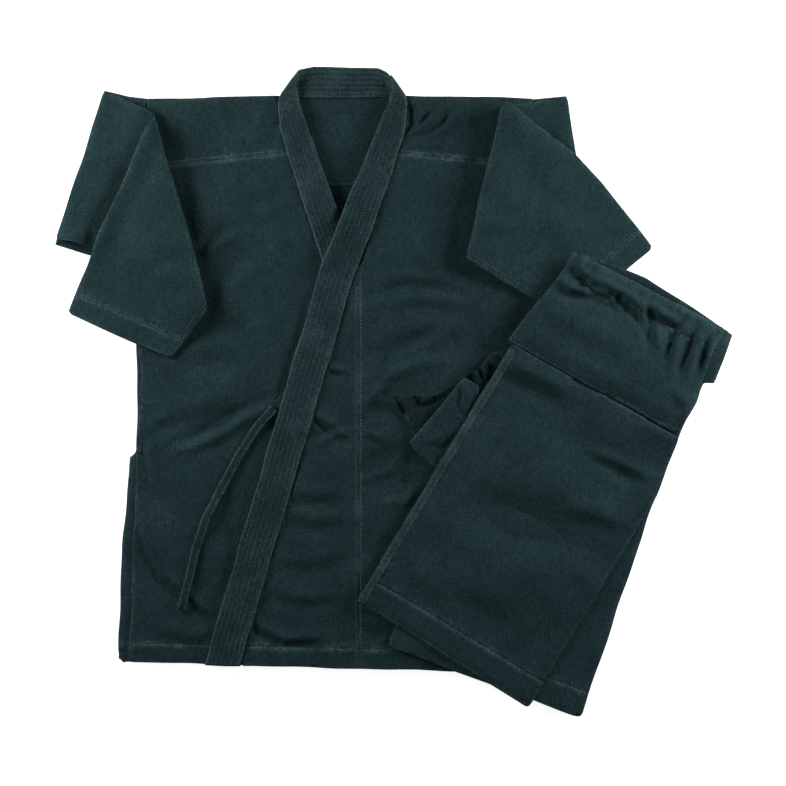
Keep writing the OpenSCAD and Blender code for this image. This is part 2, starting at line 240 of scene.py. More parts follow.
def evenly(path: Points, count: int) -> Points:
    """Puts count points at equal distances along a path.

    Args:
        path: the path's corners.
        count: how many points.

    Returns:
        The points in order.
    """
    steps = np.linalg.norm(np.diff(path, axis=0), axis=1)
    at = np.concatenate([[0], np.cumsum(steps)])
    want = np.linspace(0, at[-1], count)
    return np.stack([np.interp(want, at, path[:, k]) for k in (0, 1)], axis=1)


def node_loop(name: str) -> Points:
    """Reads the outline of a node's uppermost face.

    Args:
        name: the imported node.

    Returns:
        The outline's corners in order, in millimetres.
    """
    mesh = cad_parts[name].data
    top = max(v.co.z for v in mesh.vertices)
    count: dict[tuple, int] = {}
    for face in mesh.polygons:
        if face.normal.z > 0.9 and mesh.vertices[face.vertices[0]].co.z > top - 1e-5:
            keys = [tuple(round(c / MM, 3) for c in mesh.vertices[i].co[:2]) for i in face.vertices]
            for a, b in zip(keys, keys[1:] + keys[:1]):
                count[(a, b)] = count.get((a, b), 0) + 1
    follow = {a: b for (a, b) in count if (b, a) not in count}
    start = min(follow)
    loop, here = [start], follow[start]
    while here != start:
        loop.append(here)
        here = follow[here]
    return np.array(loop)


def shrunk(loop: Points, inset: float) -> Points:
    """An outline drawn in towards its middle by about a given distance.

    Args:
        loop: the outline.
        inset: the distance.

    Returns:
        The smaller outline.
    """
    middle = (loop.min(0) + loop.max(0)) / 2
    reach = np.linalg.norm(loop - middle, axis=1)[:, None]
    return loop + (middle - loop) / reach * inset


def wander(points: Points) -> Points:
    """Small sideways shift of every ply alike, so that no edge is ruler straight.

    Args:
        points: places on the cloth, in millimetres.

    Returns:
        The shift of each.
    """
    x, y = points[:, 0], points[:, 1]
    dx = 0.7 * np.sin(x / 31 + y / 23 + 1.0) + 0.45 * np.sin(y / 11.0 + x / 47) * np.cos(x / 60)
    dy = 0.6 * np.sin(x / 27 - y / 35 + 2.0) + 0.4 * np.sin(x / 12.5 + y / 51) * np.cos(y / 57)
    return np.column_stack([dx, dy])


def low(name: str) -> float:
    """Height of a node's underside, in millimetres."""
    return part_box(name)[0][2] / MM


def high(name: str) -> float:
    """Height of a node's top, in millimetres."""
    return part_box(name)[1][2] / MM


# ---------------------------------------------------------------- relief of the cloth


@dataclass(frozen=True)
class Crease:
    """One soft crease: a ridge along a path with a hollow on its right side.

    Args:
        path: the crease's line.
        height: how far the ridge stands up.
        width: half the ridge's width.
        hollow: the hollow's depth as a share of the height.
    """

    path: tuple[tuple[float, float], ...]
    height: float
    width: float
    hollow: float = 0.7

    def at(self, points: Points) -> Points:
        """Height that the crease adds at each point.

        Args:
            points: places on the cloth, in millimetres.

        Returns:
            The height at each.
        """
        gap, side, share = nearest_on(points, np.array(self.path, float))
        across = gap * side
        fade = np.sin(np.pi * np.clip(share, 0.02, 0.98)) ** 0.7
        ridge = np.exp(-((across / self.width) ** 2))
        dip = np.exp(-(((across + 1.5 * self.width) / self.width) ** 2))
        return self.height * fade * (ridge - self.hollow * dip)


@dataclass(frozen=True)
class Ripple:
    """Loose unevenness of washed cloth, as a sum of seeded waves.

    Args:
        height: the usual height of a wave.
        shortest: the shortest wave.
        longest: the longest wave.
        seed: picks the waves.
        heading: the waves' direction in degrees, or None for every direction.
        spread: how far the waves turn from the heading, in degrees.
        waves: how many waves are added up.
    """

    height: float
    shortest: float
    longest: float
    seed: int
    heading: float | None = None
    spread: float = 20.0
    waves: int = 26

    def at(self, points: Points) -> Points:
        """Height that the ripple adds at each point.

        Args:
            points: places on the cloth, in millimetres.

        Returns:
            The height at each.
        """
        draw = np.random.default_rng(self.seed)
        total = np.zeros(len(points))
        for _ in range(self.waves):
            length = math.exp(draw.uniform(math.log(self.shortest), math.log(self.longest)))
            turn = draw.uniform(0, 360)
            if self.heading is not None:
                turn = self.heading + draw.normal() * self.spread
            way = np.array([math.cos(math.radians(turn)), math.sin(math.radians(turn))])
            phase = draw.uniform(0, 2 * math.pi)
            wave = np.sin(points @ way * (2 * math.pi / length) + phase)
            total += wave * (length / self.longest) ** 0.6
        return self.height * total / math.sqrt(self.waves / 2)


@dataclass(frozen=True)
class Crumple:
    """A web of sharp soft-edged creases, as in cloth that was folded and shaken out.

    Args:
        height: height of the creases.
        size: the usual distance between creases.
        seed: picks the web.
        centre: the middle of the crumpled patch, or None for everywhere.
        reach: the patch's radius.
    """

    height: float
    size: float
    seed: int
    centre: tuple[float, float] | None = None
    reach: float = 60.0

    def at(self, points: Points) -> Points:
        """Height that the creases add at each point.

        Args:
            points: places on the cloth, in millimetres.

        Returns:
            The height at each.
        """
        bend = Ripple(self.size * 0.35, self.size, self.size * 3, self.seed + 500)
        turned = points[:, ::-1] * np.array([1.0, -1.0])
        shifted = points + np.column_stack([bend.at(points), bend.at(turned)])
        web = np.abs(Ripple(1.0, self.size * 1.6, self.size * 4, self.seed).at(shifted))
        crease = np.exp(-web / 0.28) - 0.25
        fine = np.abs(Ripple(1.0, self.size, self.size * 2, self.seed + 9).at(shifted))
        crease += 0.5 * (np.exp(-fine / 0.2) - 0.2)
        if self.centre is None:
            return self.height * crease
        away = np.linalg.norm(points - np.array(self.centre), axis=1)
        return self.height * crease * np.exp(-((away / self.reach) ** 2))


@dataclass(frozen=True)
class Swell:
    """A broad round swelling, or a hollow where its height is below 0.

    Args:
        centre: the middle.
        height: the height there.
        length: half its length.
        width: half its width.
        heading: the long axis, in degrees.
    """

    centre: tuple[float, float]
    height: float
    length: float
    width: float
    heading: float = 0.0

    def at(self, points: Points) -> Points:
        """Height that the swelling adds at each point.

        Args:
            points: places on the cloth, in millimetres.

        Returns:
            The height at each.
        """
        turn = math.radians(self.heading)
        offset = points - np.array(self.centre)
        u = offset @ np.array([math.cos(turn), math.sin(turn)])
        v = offset @ np.array([-math.sin(turn), math.cos(turn)])
        return self.height * np.exp(-((u / self.length) ** 2) - (v / self.width) ** 2)


@dataclass(frozen=True)
class Pull:
    """Cloth drawn in from an edge, in an arc.

    Args:
        path: the edge's two ends.
        depth: how far its middle is drawn in, to the left of the way that the edge runs.
        reach: how far in the cloth still moves.
    """

    path: tuple[tuple[float, float], tuple[float, float]]
    depth: float
    reach: float

    def moved(self, points: Points) -> Points:
        """The points after the pull.

        Args:
            points: places on the cloth, in millimetres.

        Returns:
            Their new places.
        """
        gap, _, share = nearest_on(points, np.array(self.path))
        a, b = np.array(self.path)
        way = (b - a) / np.linalg.norm(b - a)
        inward = np.array([-way[1], way[0]])
        amount = self.depth * np.sin(np.pi * share) * ease(1 - gap / self.reach)
        return points + amount[:, None] * inward


@dataclass(frozen=True)
class Rise:
    """A lift or drop that grows with distance from a line, on one side of it.

    Args:
        path: the line.
        height: the height at the line; it is 0 from reach outwards.
        reach: how far the lift runs.
    """

    path: tuple[tuple[float, float], ...]
    height: float
    reach: float

    def at(self, points: Points) -> Points:
        """Height that the rise adds at each point."""
        gap, _, _ = nearest_on(points, np.array(self.path, float))
        return self.height * ease(1 - gap / self.reach)


@dataclass
class Relief:
    """Several reliefs added up, and faded out under the pieces that lie on top.

    Args:
        parts: the creases, ripples and rises.
        covers: outlines of the pieces on top.
        margin: how far outside a cover the relief starts to fade.
        supports: outlines of the pieces below, which the cloth can't sink into.
        sag: how far it may sink over a support.
    """

    parts: Sequence[object]
    covers: list[Points] = field(default_factory=list)
    margin: float = 14.0
    supports: list[Points] = field(default_factory=list)
    sag: float = 0.2

    def at(self, points: Points) -> Points:
        """Height of the relief at each point.

        Args:
            points: places on the cloth, in millimetres.

        Returns:
            The height at each.
        """
        total = np.zeros(len(points))
        for part in self.parts:
            total += part.at(points)
        for cover in self.covers:
            gap, _, _ = nearest_on(points, closed(cover))
            gap = np.where(inside(points, cover), 0, gap)
            total *= ease(gap / self.margin)
        for support in self.supports:
            gap, _, _ = nearest_on(points, closed(support))
            near = inside(points, support) | (gap < 6)
            total = np.where(near & (total < -self.sag), -self.sag, total)
        return total


# ---------------------------------------------------------------- finishes


@dataclass(frozen=True)
class CanvasFinish:
    """Heavy cotton canvas, piece-dyed dark, plain woven and washed.

    It is matt with a slight bloom: the nap on the raised threads catches the light, folds and stitched
    edges wear paler, rolled edges carry a painted highlight in the same pale colour, and the dye is a
    little uneven. The real thread spacing of about 0.7 mm is too fine to show from afar, so a coarser
    slub of thread_mm is drawn over it.

    Args:
        name: what it is.
        ground: colour of the raised threads.
        deep: colour between them.
        pale: colour where the cloth wears paler, and of the painted highlight along rolled edges.
        thread_mm: size of a slub.
        grain_deg: the way that the threads run, in degrees.
        worn: how strongly the wear and the painted edge highlight show.
    """

    name: str = "cotton canvas dyed dark"
    ground: str = "#263b3e"
    deep: str = "#182a2c"
    pale: str = "#5a7377"
    thread_mm: float = 1.9
    grain_deg: float = 0.0
    worn: float = 0.8

    def build(self) -> bpy.types.Material:
        """Makes the material.

        Returns:
            The new material.
        """
        material = bpy.data.materials.new(self.name)
        tree = bare_tree(material)
        place = add_node(tree, "ShaderNodeTexCoord").outputs["Object"]
        warp = self._slubs(tree, place, (1.0, 0.22, 1.0))
        weft = self._slubs(tree, place, (0.3, 1.0, 1.0))
        weave = add_node(tree, "ShaderNodeMath", {"operation": "ADD"}, {0: warp, 1: weft}).outputs[0]
        dye = add_node(
            tree, "ShaderNodeTexNoise", {"in:Scale": 22.0, "in:Detail": 5.0, "in:Roughness": 0.62},
            {"Vector": place},
        ).outputs["Fac"]
        uneven = add_node(
            tree, "ShaderNodeMapRange", {"in:1": 0.3, "in:2": 0.7, "in:3": -0.16, "in:4": 0.16},
            {"Value": dye},
        ).outputs[0]
        threads = add_node(
            tree, "ShaderNodeMapRange", {"in:1": 0.74, "in:2": 1.24, "in:3": 0.0, "in:4": 1.0},
            {"Value": weave},
        ).outputs[0]
        shade = add_node(
            tree, "ShaderNodeMath", {"operation": "ADD", "use_clamp": True}, {0: threads, 1: uneven},
        ).outputs[0]
        body = add_node(
            tree, "ShaderNodeMix",
            {"data_type": "RGBA", "in:6": linear(self.deep), "in:7": linear(self.ground)},
            {"Factor": shade},
        ).outputs[2]
        # Pale colour mixed in by the per-point attribute: wear along seams, and along edges wear with a
        # painted highlight on the rolled edge.
        worn = add_node(tree, "ShaderNodeAttribute", {"attribute_name": "worn"}).outputs["Fac"]
        rubbed_and_highlit = add_node(
            tree, "ShaderNodeMath", {"operation": "MULTIPLY"}, {0: worn, 1: shade}
        ).outputs[0]
        rubbed_and_highlit = add_node(
            tree, "ShaderNodeMath",
            {"operation": "MULTIPLY", "in:1": self.worn, "use_clamp": True}, {0: rubbed_and_highlit},
        ).outputs[0]
        colour = add_node(
            tree, "ShaderNodeMix", {"data_type": "RGBA", "in:7": linear(self.pale)},
            {"Factor": rubbed_and_highlit, 6: body},
        ).outputs[2]
        bump = add_node(
            tree, "ShaderNodeBump", {"in:Strength": 0.6, "in:Distance": 0.0007}, {"Height": weave},
        ).outputs[0]
        shader = add_node(
            tree, "ShaderNodeBsdfPrincipled",
            {
                "in:Roughness": 0.8, "in:IOR": 1.45, "in:Specular IOR Level": 0.05,
                "in:Sheen Weight": 0.03, "in:Sheen Roughness": 0.5, "in:Sheen Tint": linear("#8fc4c8"),
            },
            {"Base Color": colour, "Normal": bump},
        )
        add_node(tree, "ShaderNodeOutputMaterial", links={"Surface": shader.outputs[0]})
        return material

    def _slubs(
        self, tree: bpy.types.NodeTree, place: bpy.types.NodeSocket, stretch: tuple
    ) -> bpy.types.NodeSocket:
        """Uneven threads that run one way.

        Args:
            tree: the material's node tree.
            place: the cloth's own coordinates.
            stretch: how the grain is squeezed along each axis.

        Returns:
            The threads' height, from 0 to 1.
        """
        turned = add_node(
            tree, "ShaderNodeMapping",
            {"in:Rotation": (0.0, 0.0, math.radians(self.grain_deg)), "in:Scale": stretch},
            {"Vector": place},
        ).outputs[0]
        return add_node(
            tree, "ShaderNodeTexNoise",
            {"in:Scale": 1 / (self.thread_mm * MM), "in:Detail": 2.0, "in:Roughness": 0.6},
            {"Vector": turned},
        ).outputs["Fac"]


@dataclass(frozen=True)
class PlainFinish:
    """A fibre finish with one colour and a fine fleck, for thread, interlining and elastic.

    Polyester thread has a faint lustre, interlining is dull felted fibre, and covered elastic
    has fine ribs.
    """

    name: str
    ground: str
    fleck: str
    grain_mm: float
    roughness: float
    sheen: float = 0.2

    def build(self) -> bpy.types.Material:
        """Makes the material.

        Returns:
            The new material.
        """
        material = bpy.data.materials.new(self.name)
        tree = bare_tree(material)
        place = add_node(tree, "ShaderNodeTexCoord").outputs["Object"]
        fibre = add_node(
            tree, "ShaderNodeTexNoise", {"in:Scale": 1 / (self.grain_mm * MM), "in:Detail": 3.0},
            {"Vector": place},
        ).outputs["Fac"]
        # Paler fleck where the per-point attribute is high: wear, and on plies also the painted highlight
        # along rolled edges.
        worn = add_node(tree, "ShaderNodeAttribute", {"attribute_name": "worn"}).outputs["Fac"]
        light = add_node(
            tree, "ShaderNodeMath", {"operation": "MULTIPLY_ADD", "in:1": 0.5, "use_clamp": True},
            {0: fibre, 2: worn},
        ).outputs[0]
        colour = add_node(
            tree, "ShaderNodeMix",
            {"data_type": "RGBA", "in:6": linear(self.ground), "in:7": linear(self.fleck)},
            {"Factor": light},
        ).outputs[2]
        bump = add_node(
            tree, "ShaderNodeBump", {"in:Strength": 0.3, "in:Distance": 0.0003}, {"Height": fibre}
        ).outputs[0]
        shader = add_node(
            tree, "ShaderNodeBsdfPrincipled",
            {"in:Roughness": self.roughness, "in:IOR": 1.5, "in:Sheen Weight": self.sheen},
            {"Base Color": colour, "Normal": bump},
        )
        add_node(tree, "ShaderNodeOutputMaterial", links={"Surface": shader.outputs[0]})
        return material


@dataclass(frozen=True)
class BackdropFinish:
    """Pale seamless paper: it shows as even white, and keeps a soft shadow of the object."""

    name: str = "seamless white paper"
    ground: str = "#f4f4f4"

    def build(self) -> bpy.types.Material:
        """Makes the material.

        Returns:
            The new material.
        """
        material = bpy.data.materials.new(self.name)
        tree = bare_tree(material)
        grain = add_node(tree, "ShaderNodeTexNoise", {"in:Scale": 60.0}).outputs["Fac"]
        colour = add_node(
            tree, "ShaderNodeMix",
            {"data_type": "RGBA", "in:6": linear(self.ground), "in:7": linear("#f7f7f7")},
            {"Factor": grain},
        ).outputs[2]
        paper = add_node(
            tree, "ShaderNodeBsdfDiffuse", {"in:Roughness": 1.0}, {"Color": colour}
        ).outputs[0]
        glow = add_node(
            tree, "ShaderNodeEmission", {"in:Color": (1, 1, 1, 1), "in:Strength": 0.9}
        ).outputs[0]
        both = add_node(tree, "ShaderNodeAddShader", links={0: paper, 1: glow}).outputs[0]
        seen = background_rays(tree)
        mixed = add_node(tree, "ShaderNodeMixShader", links={0: seen, 1: paper, 2: both}).outputs[0]
        add_node(tree, "ShaderNodeOutputMaterial", links={"Surface": mixed})
        return material


class Slot(Enum):
    """The record's material slots."""

    CANVAS = "heavy_cotton"
    BAND = "quilted_band"
    HEM = "stitched_hem"
    TIE = "tie_cloth"
    CORE = "band_core"
    ELASTIC = "waist_elastic"


class Wardrobe:
    """Builds each finish once and hands it out."""

    def __init__(self) -> None:
        """Starts with no material made."""
        self._made: dict[object, bpy.types.Material] = {}

    def get(self, finish: CanvasFinish | PlainFinish | BackdropFinish) -> bpy.types.Material:
        """Returns the material of a finish, and makes it the first time.

        Args:
            finish: the finish.

        Returns:
            Its material.
        """
        if finish not in self._made:
            self._made[finish] = finish.build()
        return self._made[finish]


WARDROBE = Wardrobe()
JACKET_CLOTH = CanvasFinish()
BAND_CLOTH = CanvasFinish(
    name="canvas band quilted with thread", ground="#263b3e", deep="#152527", grain_deg=17.0
)
SLEEVE_CLOTH = CanvasFinish(
    name="cotton canvas of the right sleeve", ground="#243a3c", deep="#182a2c", grain_deg=23.5
)
LEFT_SLEEVE_CLOTH = CanvasFinish(
    name="cotton canvas of the left sleeve", ground="#293f42", deep="#1a2d2f", grain_deg=-41.0
)
LEG_CLOTH = CanvasFinish(
    name="cotton canvas of the trousers", ground="#293f42", deep="#1a2c2f", grain_deg=31.0
)
# The sleeve's inner side: a little deeper in tone than the outside, and dyed deeper still as painted
# shade of the hollow inside the folded sleeve.
SLEEVE_INSIDE_WITH_PAINTED_SHADE = CanvasFinish(
    name="inner side of the sleeve canvas", ground="#1d2e30", deep="#121e20", grain_deg=23.5, worn=0.4
)
# The trousers' inner side: a little deeper in tone than the outside, and dyed deeper still as painted
# shade of the hollow in the crotch.
GUSSET_INSIDE_WITH_PAINTED_SHADE = CanvasFinish(
    name="inner side of the trouser canvas", ground="#1b2c2e", deep="#101c1e", grain_deg=31.0, worn=0.5
)
TIE_CLOTH = CanvasFinish(
    name="folded cotton tie", ground="#1f3133", deep="#121f21", grain_deg=-25.0
)
THREAD = PlainFinish("polyester sewing thread", "#2c4144", "#708a8e", 0.8, 0.6, 0.2)
BAND_THREAD = PlainFinish("quilting thread of the band", "#22363a", "#48605f", 0.8, 0.65, 0.15)
INTERLINING = PlainFinish("felted interlining", "#5b6664", "#76817e", 1.2, 0.95)
ELASTIC = PlainFinish("covered elastic", "#c9c6bd", "#e4e2da", 0.9, 0.8)


# ---------------------------------------------------------------- mesh builders


def make_object(
    name: str,
    points: Points,
    faces: list[tuple[int, ...]],
    material: bpy.types.Material,
    worn: Points | None = None,
) -> bpy.types.Object:
    """Makes a smooth mesh object from points in millimetres.

    Args:
        name: the piece's name.
        points: an n by 3 array.
        faces: corner numbers of each face.
        material: its finish.
        worn: how much of the pale colour each point gets, from wear and from the painted edge highlight,
            from 0 to 1.

    Returns:
        The new object, linked to the scene.
    """
    mesh = bpy.data.meshes.new(name)
    mesh.from_pydata((points * MM).tolist(), [], faces)
    mesh.update()
    fixer = bmesh.new()
    fixer.from_mesh(mesh)
    bmesh.ops.recalc_face_normals(fixer, faces=fixer.faces)
    fixer.to_mesh(mesh)
    fixer.free()
    mesh.polygons.foreach_set("use_smooth", [True] * len(mesh.polygons))
    mesh.materials.append(material)
    if worn is not None:
        mesh.attributes.new("worn", "FLOAT", "POINT").data.foreach_set("value", worn.astype(np.float32))
    piece = bpy.data.objects.new(name, mesh)
    bpy.context.scene.collection.objects.link(piece)
    return piece


def shell_faces(count: int, across: int) -> list[tuple[int, ...]]:
    """Faces of a strip's top and underside, and of the walls between them.

    Args:
        count: points along the strip.
        across: points across it.

    Returns:
        The faces, with the top's points numbered first.
    """
    size = count * across
    faces: list[tuple[int, ...]] = []
    for r in range(count - 1):
        for c in range(across - 1):
            i = r * across + c
            j = i + across
            faces += [(i, i + 1, j + 1, j), (i + size, j + size, j + 1 + size, i + 1 + size)]
    rim = [r * across for r in range(count)]
    rim += [(count - 1) * across + c for c in range(1, across)]
    rim += [r * across + across - 1 for r in range(count - 2, -1, -1)]
    rim += list(range(across - 2, 0, -1))
    return faces + [(a, b, b + size, a + size) for a, b in zip(rim, rim[1:] + rim[:1])]


def surface_of(piece: bpy.types.Object) -> BVHTree:
    """A piece's surface, to measure heights on.

    Args:
        piece: the piece.

    Returns:
        Its surface as a search tree.
    """
    mesh = piece.data
    corners = [tuple(p.vertices) for p in mesh.polygons]
    return BVHTree.FromPolygons([v.co for v in mesh.vertices], corners)


def height_on(tree: BVHTree, x: float, y: float) -> float | None:
    """Height of a surface's top at a place.

    Args:
        tree: the surface.
        x: the place's x, in millimetres.
        y: its y.

    Returns:
        The height in millimetres, or None beside the surface.
    """
    hit = tree.ray_cast(Vector((x * MM, y * MM, 0.2)), Vector((0, 0, -1)))
    return None if hit[0] is None else hit[0].z / MM


@dataclass
class Carrier:
    """The body or pair of bodies that a piece moves with.

    Args:
        body: the body, or the first of two.
        other: the second body, for cloth that bends across a joint.
        start: where the bend starts, in millimetres; not used.
        end: where the bend ends; not used.
    """

    body: str
    other: str | None = None
    start: tuple[float, float, float] = (0.0, 0.0, 0.0)
    end: tuple[float, float, float] = (0.0, 0.0, 0.0)

    def take(self, piece: bpy.types.Object) -> None:
        """Puts a piece on the body; a piece across a joint only has its place baked in, and isn't
        blended.

        Args:
            piece: the finished piece.
        """
        if self.other is None:
            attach(piece, self.body)
        else:
            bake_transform(piece)


@dataclass
class Ply:
    """One ply of cloth with the outline of the nodes that it stands for.

    Args:
        name: the piece's name.
        nodes: the nodes, whose outlines are joined; shared edges become seams.
        carrier: what it moves with.
        finish: its cloth.
        slot: the record's slot; not used.
        relief: height added to both faces.
        spacing: distance between mesh points.
        raise_by: a constant height added.
        edge_round: how far in from an edge the ply is rolled.
        tuck: how far the ply turns down at its folded edges.
        tuck_reach: how far in it starts to turn down.
        open_paths: edges that aren't turned down.
        seam_depth: depth of the groove along a seam.
        held: how the cloth is held; not used.
        pulls: edges drawn in.
        inset: how far the outlines are drawn in.
        thin: how much thinner than its node it is.
        sewn_above: edges past this y keep their line.
        sewn_x: and so do those at this x.
        wear: wear all over, from 0 to 1.
        seam_wear: wear along the seams.
        outline: its outline, where it isn't the nodes' own.
        stands_in: whether it stands for its nodes, or lies beside the piece that does.
        piece: the finished object.
        loops: the outlines.
        seams: the edges that two outlines share.
    """

    name: str
    nodes: tuple[str, ...]
    carrier: Carrier
    finish: CanvasFinish | PlainFinish = JACKET_CLOTH
    slot: Slot = Slot.CANVAS
    relief: Relief | None = None
    spacing: float = 5.0
    raise_by: float = 0.0
    edge_round: float = 2.2
    tuck: float = 0.0
    tuck_reach: float = 9.0
    open_paths: tuple[Points, ...] = ()
    seam_depth: float = 0.8
    held: str = "laid"
    pulls: tuple[Pull, ...] = ()
    inset: float = 0.0
    thin: float = 0.0
    sewn_above: float = 1e9
    sewn_x: float = 1e9
    wear: float = 0.0
    seam_wear: float = 0.75
    outline: Points | None = None
    stands_in: bool = True
    piece: bpy.types.Object | None = None
    loops: list[Points] = field(default_factory=list)
    seams: list[Points] = field(default_factory=list)

    def build(self) -> "Ply":
        """Returns:
            The ply itself, with its piece.
        """
        self.loops = [node_loop(n) for n in self.nodes]
        if self.outline is not None:
            self.loops = [self.outline]
        if self.inset:
            self.loops = [shrunk(loop, self.inset) for loop in self.loops]
        flat, faces, rim = self._fill()
        flat = self._soften(flat, rim)
        gap_rim = self._gap(flat, rim)
        top_z, low_z = self._heights(flat, gap_rim)
        count = len(flat)
        points = np.vstack([np.column_stack([flat, top_z]), np.column_stack([flat, low_z])])
        solid = [tuple(f) for f in faces]
        solid += [tuple(i + count for i in reversed(f)) for f in faces]
        solid += [(b, a, a + count, b + count) for a, b in rim]
        worn = self._wear_and_highlight(flat, gap_rim)
        self.piece = make_object(
            self.name, points, solid, WARDROBE.get(self.finish), np.concatenate([worn, worn])
        )
        if self.stands_in:
            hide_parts(*self.nodes)
        self._declare(flat, faces)
        LOG.info("%s: %d points", self.name, len(points))
        return self

    def finish_piece(self) -> None:
        """Puts the finished piece on its body."""
        self.carrier.take(self.piece)

    def _fill(self) -> tuple[Points, list[tuple[int, ...]], list[tuple[int, int]]]:
        """Fills the outlines with triangles.

        Returns:
            The points, the triangles and the outer edges.
        """
        step = self.spacing
        verts: list[Points] = []
        edges: list[tuple[int, int]] = []
        for loop in self.loops:
            ring = resampled(closed(loop), step)[:-1]
            start = len(verts)
            verts += list(ring)
            edges += [(start + i, start + (i + 1) % len(ring)) for i in range(len(ring))]
        edge_points = np.array(verts)
        lowest, highest = edge_points.min(0), edge_points.max(0)
        rows = np.arange(lowest[1], highest[1], step * 0.866)
        grid = np.array(
            [
                (x + (i % 2) * step / 2, y)
                for i, y in enumerate(rows)
                for x in np.arange(lowest[0], highest[0], step)
            ]
        )
        keep = np.zeros(len(grid), bool)
        for loop in self.loops:
            keep |= inside(grid, loop)
        grid = grid[keep]
        for loop in self.loops:
            gap, _, _ = nearest_on(grid, closed(loop))
            grid = grid[gap > step * 0.45]
        rings = [self._inner_ring(loop) for loop in self.loops]
        extra = [r for r in rings if len(r)]
        every = np.vstack([edge_points, grid, *extra])
        vectors = [Vector((float(x), float(y))) for x, y in every]
        out, _, tris, _, _, _ = delaunay_2d_cdt(vectors, edges, [], 0, 1e-3)
        flat = np.array([(v.x, v.y) for v in out])
        corners = np.array([t for t in tris if len(t) == 3])
        middles = flat[corners].mean(1)
        keep = np.zeros(len(corners), bool)
        for loop in self.loops:
            keep |= inside(middles, loop)
        corners = corners[keep]
        used, corners = np.unique(corners, return_inverse=True)
        corners = corners.reshape(-1, 3)
        flat = flat[used]
        seen: dict[tuple[int, int], int] = {}
        for a, b, c in corners.tolist():
            for edge in ((a, b), (b, c), (c, a)):
                seen[edge] = 1
        rim = [(a, b) for (a, b) in seen if (b, a) not in seen]
        return flat, [tuple(c) for c in corners.tolist()], rim

    def _soften(self, flat: Points, rim: list[tuple[int, int]]) -> Points:
        """Rounds the outline's corners a little and lets its edges wander as cloth does.

        Args:
            flat: the ply's points.
            rim: its outer edges.

        Returns:
            The points moved.
        """
        ends = np.array(rim)
        for _ in range(2):
            total = np.zeros_like(flat)
            count = np.zeros(len(flat))
            for a, b in ((0, 1), (1, 0)):
                np.add.at(total, ends[:, a], flat[ends[:, b]])
                np.add.at(count, ends[:, a], 1)
            on = (count > 0) & (flat[:, 1] < self.sewn_above)
            on &= np.abs(flat[:, 0] - self.sewn_x) > 4
            flat = flat.copy()
            flat[on] = 0.5 * flat[on] + 0.5 * total[on] / count[on][:, None]
        flat = flat + wander(flat)
        for pull in self.pulls:
            flat = pull.moved(flat)
        return flat

    def _inner_ring(self, loop: Points) -> Points:
        """Points a rolled edge's width in from an outline, to keep the roll sharp.

        Args:
            loop: the outline.

        Returns:
            The points.
        """
        ring = resampled(closed(loop), self.spacing)[:-1]
        ahead = np.roll(ring, -1, axis=0) - np.roll(ring, 1, axis=0)
        normal = np.column_stack([-ahead[:, 1], ahead[:, 0]])
        normal /= np.maximum(np.linalg.norm(normal, axis=1), 1e-9)[:, None]
        turns = loop[:, 0] @ np.roll(loop[:, 1], -1) - loop[:, 1] @ np.roll(loop[:, 0], -1)
        inner = ring + normal * self.edge_round * 0.5 * np.sign(turns)
        gap, _, _ = nearest_on(inner, closed(loop))
        return inner[(gap > self.edge_round * 0.35) & inside(inner, loop)]

    def _gap(self, flat: Points, rim: list[tuple[int, int]]) -> Points:
        """Distance of each point from the outer edge.

        Args:
            flat: the ply's points.
            rim: its outer edges.

        Returns:
            The distances.
        """
        ends = np.array(rim)
        a, b = flat[ends[:, 0]], flat[ends[:, 1]]
        best = np.full(len(flat), 1e9)
        for p, q in zip(a, b):
            along = q - p
            t = np.clip((flat - p) @ along / max(along @ along, 1e-9), 0, 1)
            np.minimum(best, np.linalg.norm(flat - p - t[:, None] * along, axis=1), out=best)
        return best

    def _heights(self, flat: Points, gap: Points) -> tuple[Points, Points]:
        """Heights of the top and the underside.

        Args:
            flat: the ply's points.
            gap: their distances from the edge.

        Returns:
            Both heights of each point.
        """
        base = low(self.nodes[0]) + self.raise_by
        thick = min(high(self.nodes[0]) - low(self.nodes[0]), 1.6) - self.thin
        rolled = np.sqrt(np.clip(1 - (1 - np.clip(gap / self.edge_round, 0, 1)) ** 2, 0, 1))
        half = thick / 2 * (0.25 + 0.75 * rolled)
        middle = np.full(len(flat), base + thick / 2)
        if self.relief is not None:
            middle = middle + self.relief.at(flat)
        if self.tuck:
            fold = gap
            for path in self.open_paths:
                away, _, _ = nearest_on(flat, path)
                fold = np.where(away < gap + 0.5, 1e9, fold)
            middle = middle - self.tuck * (1 - ease(fold / self.tuck_reach))
        top, under = middle + half, middle - half
        for seam in self._shared():
            away, side, _ = nearest_on(flat, seam)
            top = top - self.seam_depth * np.exp(-((away / 1.6) ** 2))
            top = top + 0.5 * np.exp(-(((away - 4.0) / 3.0) ** 2))
        floor, roof = 0.05, 40.6
        top = np.clip(top, floor + 0.4, roof)
        return top, np.clip(under, floor, roof - thick * 0.6)

    def _shared(self) -> list[Points]:
        """Edges that two of the outlines share.

        Returns:
            The seams' lines.
        """
        if self.seams or len(self.loops) < 2:
            return self.seams
        for i, first in enumerate(self.loops):
            for second in self.loops[i + 1 :]:
                gap, _, _ = nearest_on(first, closed(second))
                on = [p for p, g in zip(first, gap) if g < 0.05]
                gap, _, _ = nearest_on(second, closed(first))
                on += [p for p, g in zip(second, gap) if g < 0.05]
                if len(on) < 2:
                    continue
                on = np.array(on)
                spread = on.max(0) - on.min(0)
                order = np.argsort(on[:, 0] if spread[0] > spread[1] else on[:, 1])
                line = on[order]
                keep = [0] + [
                    k for k in range(1, len(line)) if np.linalg.norm(line[k] - line[k - 1]) > 0.5
                ]
                if len(keep) > 1:
                    self.seams.append(line[keep])
        return self.seams

